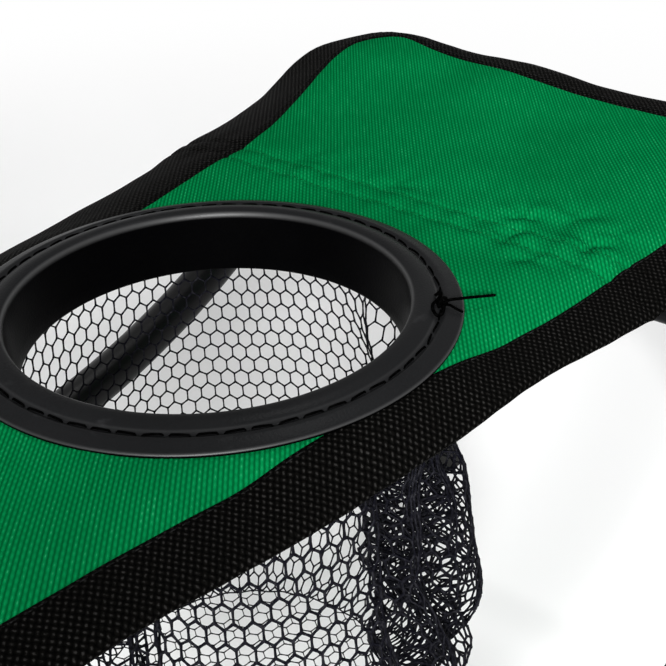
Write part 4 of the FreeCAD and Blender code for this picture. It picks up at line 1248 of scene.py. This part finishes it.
# %% Leaning the backstop
rivet_low, rivet_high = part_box("left_hoop_rivet")
HINGE = ((np.array(rivet_low) + np.array(rivet_high)) / 2 - CUP) / MM * (1, 0, 1)
HOOP_LEAN = math.radians(12)
HOOP_RADIUS = 205.0
EYE_RISE = 20.0
ROD_LEAD = 26.0
HEM_RISE = 8.0
EYE_SPREAD = ((rivet_low[1] + rivet_high[1]) / 2 - CUP[1]) / MM
FLARE = math.asin(EYE_SPREAD / math.hypot(HOOP_RADIUS, ROD_LEAD)) + math.atan(ROD_LEAD / HOOP_RADIUS)
BEND_START = EYE_RISE + ROD_LEAD * math.sin(FLARE)
HOOP_CENTRE = BEND_START + HOOP_RADIUS * math.cos(FLARE)
NET_FLOOR = BEND_START + HEM_RISE
NET_EDGE = 199.4
SLEEVE_END = math.pi - FLARE - math.radians(9)
print("hoop hinge at", HINGE.round(2), "hoop centre", round(HOOP_CENTRE, 1), "mm up the hoop")


def leaned(points):
    """From the hoop's plane (x forwards, y left, z up the hoop) to places from the cup."""
    x, y, z = np.moveaxis(np.asarray(points, dtype=float), -1, 0)
    cosine, sine = math.cos(HOOP_LEAN), math.sin(HOOP_LEAN)
    return stacked(HINGE[0] + x * cosine - z * sine, y, HINGE[2] + x * sine + z * cosine)


def on_hoop(across, reach, angle):
    """A place in the hoop's plane, moved across it: reach from the hoop's middle, angle from its top."""
    return stacked(across, reach * np.sin(angle), HOOP_CENTRE + reach * np.cos(angle))


# %% [markdown]
# ## The hoop's sleeve
# A strip of green cloth is folded round the rod and sewn shut along the hoop's inside; the net's edge
# is caught in that seam.  Seen end-on it is a drop: round on the rod, flat where it is sewn.
# The channel is a little loose, so it has cross wrinkles.  A bevelled curve would be round all over,
# so the drop is swept round the hoop as a grid of points, which also gives the strip its flat cut.

# %% The sleeve's cloth
SLEEVE_SECTION = [(-9.6, -0.4), (-7.4, -0.42), (-5.6, -0.7)]
SLEEVE_SECTION += [(4.6 * math.cos(a), 4.6 * math.sin(a)) for a in np.radians(np.linspace(-145, 145, 22))]
SLEEVE_SECTION += [(-5.6, 0.7), (-7.4, 0.42), (-9.6, 0.4)]
SLEEVE_THICKNESS = 0.4


def add_sleeve():
    angle = np.linspace(-SLEEVE_END, SLEEVE_END, 420)[:, None]
    outward, across = np.transpose(SLEEVE_SECTION)
    walked = angle * HOOP_RADIUS
    pinch = 0.16 * soft_noise(walked, across * 3 + outward, 7.0, 12.0)
    swell = 1 + np.where(outward > -4.5, pinch * 0.55, 0.0)
    bend = 0.5 * soft_noise(walked, 0 * outward, 18.0, 13.0) * ease(-outward, 3.8, 6.0)
    points = on_hoop(across * swell + bend, HOOP_RADIUS + outward * swell, angle)
    edge = walk(SLEEVE_SECTION)
    piece = add_piece("hoop_sleeve_cloth", leaned(points), grid_faces(len(angle), len(edge)), GREEN,
                      stacked(walked, edge), "backstop")
    thicken(piece, SLEEVE_THICKNESS)
    return piece, edge[-1], walked[-1, 0] - walked[0, 0]


sleeve, sleeve_round, sleeve_length = add_sleeve()
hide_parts("hoop_sleeve")
print("sleeve cut", round(sleeve_round), "by", round(sleeve_length), "mm")

# %% The sleeve's seam
SLEEVE_SEAM = HOOP_RADIUS - 7.6
sleeve_angle, sleeve_lift = dashes(-SLEEVE_END + 0.02, SLEEVE_END - 0.02, 0.0185, 0.0135, 0.2, 0.3)
sleeve_seams = []
for face in (1, -1):
    line = on_hoop(face * (0.62 + sleeve_lift), SLEEVE_SEAM, sleeve_angle)
    sleeve_seams.append(tube_along(leaned(line), (0.1, 0.26, 0.28, 0.26, 0.1)))
sleeve_seam_points, sleeve_seam_faces = join_pieces(sleeve_seams)
sleeve_stitches = add_piece("sleeve_stitches", sleeve_seam_points, sleeve_seam_faces, GREEN_THREAD,
                            body="backstop")
print("sleeve stitches:", len(sleeve_seam_faces), "faces")

# %% [markdown]
# ## The backstop net
# The net is a shallow bowl behind the hoop with a level floor, so that a ball rolls out to the front.
# It is the same six-sided knit, but coarser.  Its flat mesh is cut to the hoop's circle, and what lies
# below the floor's edge is folded forwards into the floor.  A cloth simulation could hang it, but a
# formula for the bowl keeps its holes even and gives the same net each time.

# %% The bowl of the backstop
NET_DEPTH = 58.0
NET_COLUMN = 13.0
NET_ROW = 10.5
NET_COLUMNS = 34
NET_ROWS = 48
NET_DROP = 295.0


def bowl_depth(reach):
    """How far the net hangs behind the hoop's plane at a distance from the hoop's middle."""
    share = np.clip(np.asarray(reach) / NET_EDGE, 0, 1)
    return NET_DEPTH * (1 - share ** 2.3) ** 0.9


def lay_net(y, z):
    """Lay a point of the flat net on the bowl, or on the floor when it is below the floor's edge."""
    reach = np.hypot(y, np.maximum(z, NET_FLOOR) - HOOP_CENTRE)
    depth = bowl_depth(reach)
    below = np.maximum(NET_FLOOR - z, 0)
    slack = 0.9 * np.sin(y / 31.0 + z / 47.0) + 0.7 * np.sin(y / 13.0 - z / 29.0)
    x = -np.maximum(depth + slack * np.minimum(depth / 20.0, 1.0) - below, -0.6)
    height = np.maximum(z, NET_FLOOR) - 1.2 * np.sin(np.clip(below / 58.0, 0, 1) * math.pi)
    return stacked(x, y, height + 0.8 * (below > 0))


def net_floor_end(y):
    """Flat height at which the floor reaches the strap at the front."""
    reach = np.hypot(y, NET_FLOOR - HOOP_CENTRE)
    return NET_FLOOR - bowl_depth(reach)


def inside_net(y, z):
    return (np.hypot(y, np.maximum(z, NET_FLOOR) - HOOP_CENTRE) < NET_EDGE) & (z > net_floor_end(y))


# %% The backstop net
net_flat, net_pairs = hexagon_mesh(NET_COLUMNS, NET_ROWS, NET_COLUMN, NET_ROW, NET_ROW * 0.42, False)
net_flat = net_flat - (NET_COLUMNS * NET_COLUMN / 2, 0) + (0, HOOP_CENTRE - NET_DROP)
net_flat, net_pairs = clip_mesh(net_flat, net_pairs, inside_net)
net_corners = lay_net(net_flat[:, 0], net_flat[:, 1])
net_out = np.tile([[-1.0, 0.0, 0.0]], (len(net_corners), 1)) + (0, 1e-4, 2e-4)
net_out[net_flat[:, 1] < NET_FLOOR] = (0.02, 0.0, -1.0)
net_points, net_faces = yarn_tubes(net_corners, net_out, net_pairs, (0.62, 0.45), 6)
backstop = add_piece("backstop_netting", leaned(net_points), net_faces, NETTING, body="backstop")
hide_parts("backstop_net")
print("backstop net:", len(net_pairs), "yarns,", len(net_faces) * 2, "triangles")

# %% [markdown]
# ## The hem strap
# A narrow webbing runs across the front of the net's floor and ends in the sleeve's seam.
# It is folded over the net's hem, so its section has a round lower edge.  A curve could carry it, but
# it is drawn nearly tight from side to side, so its section is swept straight across with a little sag.

# %% The hem strap
STRAP_SECTION = ((0.45, 0.0), (0.2, -0.35), (-0.3, -0.35), (-0.6, 0.0), (-0.65, 3.0), (-0.62, 7.0),
                 (-0.45, 9.6), (-0.1, 9.8), (0.35, 9.8), (0.7, 9.5), (0.75, 7.0), (0.7, 3.0))


def add_strap():
    half = math.sqrt(NET_EDGE ** 2 - (HOOP_CENTRE - NET_FLOOR) ** 2) - 1.0
    y = np.linspace(-half, half, 150)[:, None]
    forward, rise = np.transpose(STRAP_SECTION)
    sag = 1 - (y / half) ** 2
    points = stacked(forward + 1.0 + 0.5 * np.sin(y / 29.0), y, NET_FLOOR + rise - sag + 0.8)
    faces = grid_faces(len(y), len(rise), False, True)
    return add_piece("hem_webbing", leaned(points), faces, BINDING, stacked(y, walk(STRAP_SECTION)),
                     "backstop"), half


strap, strap_half = add_strap()
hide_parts("hem_strap")
print("hem strap:", round(2 * strap_half), "mm long")

# %% [markdown]
# ## Floor and light
# The object stands on a plain white floor in soft light.  The lamps light it at a level where a
# colour looks as it was chosen.  Where the camera, a mirror or glass sees past the object it sees
# clean white.  The floor keeps its soft shadows near the object and fades to white further out.
# More light would whiten the floor too, but it would bleach the colours, so the floor glows a little.

# %% The floor
GLOW_NEAR = 0.2
GLOW_START = 0.52
GLOW_FULL = 1.1


def seen_directly(tree):
    """1 where the camera, a mirror or glass looks, and 0 for the light that bounces about."""
    seen = (Wire.of_node(tree, "LightPath", output="Is Camera Ray")
            + Wire.of_node(tree, "LightPath", output="Is Glossy Ray")
            + Wire.of_node(tree, "LightPath", output="Is Transmission Ray"))
    return seen.sum("MINIMUM", seen, 1.0)


def white_floor():
    material = bpy.data.materials.new("white_floor")
    material.use_nodes = True
    tree = material.node_tree
    shader = tree.nodes["Principled BSDF"]
    shader.inputs["Base Color"].default_value = (0.92, 0.92, 0.92, 1)
    shader.inputs["Roughness"].default_value = 0.9
    glow = Wire.of_node(tree, "Emission", None, {"Color": (1, 1, 1, 1), "Strength": 1.0})
    away = Wire.of_node(tree, "VectorMath", {"operation": "LENGTH"}, {0: solid_place(tree)},
                        output="Value")
    share = seen_directly(tree) * (away.between(GLOW_START, GLOW_FULL) * (1 - GLOW_NEAR) + GLOW_NEAR)
    mixed = Wire.of_node(tree, "MixShader", None, {0: share, 1: Wire(shader.outputs[0]), 2: glow})
    tree.links.new(mixed.socket, tree.nodes["Material Output"].inputs["Surface"])
    return material


bpy.ops.mesh.primitive_plane_add(size=60.0, location=(0, 0, 0))
floor = bpy.context.object
floor.name = "floor"
floor.data.materials.append(white_floor())
print("floor fades to white from", GLOW_START, "to", GLOW_FULL, "m out")

# %% The light
FILL_LIGHT = 0.22


def white_world():
    world = bpy.data.worlds.new("world")
    world.use_nodes = True
    tree = world.node_tree
    strength = seen_directly(tree) * (1 - FILL_LIGHT) + FILL_LIGHT
    shade = tree.nodes["Background"]
    shade.inputs["Color"].default_value = (1, 1, 1, 1)
    tree.links.new(strength.socket, shade.inputs["Strength"])
    return world


def soft_lamp(name, place, target, size, power):
    lamp = bpy.data.lights.new(name, "AREA")
    lamp.shape = "DISK"
    lamp.size = size
    lamp.energy = power
    holder = bpy.data.objects.new(name, lamp)
    bpy.context.scene.collection.objects.link(holder)
    holder.location = place
    holder.rotation_euler = (Vector(target) - Vector(place)).to_track_quat("-Z", "Y").to_euler()


bpy.context.scene.world = white_world()
soft_lamp("front_lamp", (-2.09, -1.60, 1.455), CUP, size=0.7, power=208.0)
soft_lamp("rim_lamp", (0.9, 0.25, 2.3), CUP, size=0.35, power=13.0)
print("lamps:", [(lamp.name, lamp.energy) for lamp in bpy.data.lights])
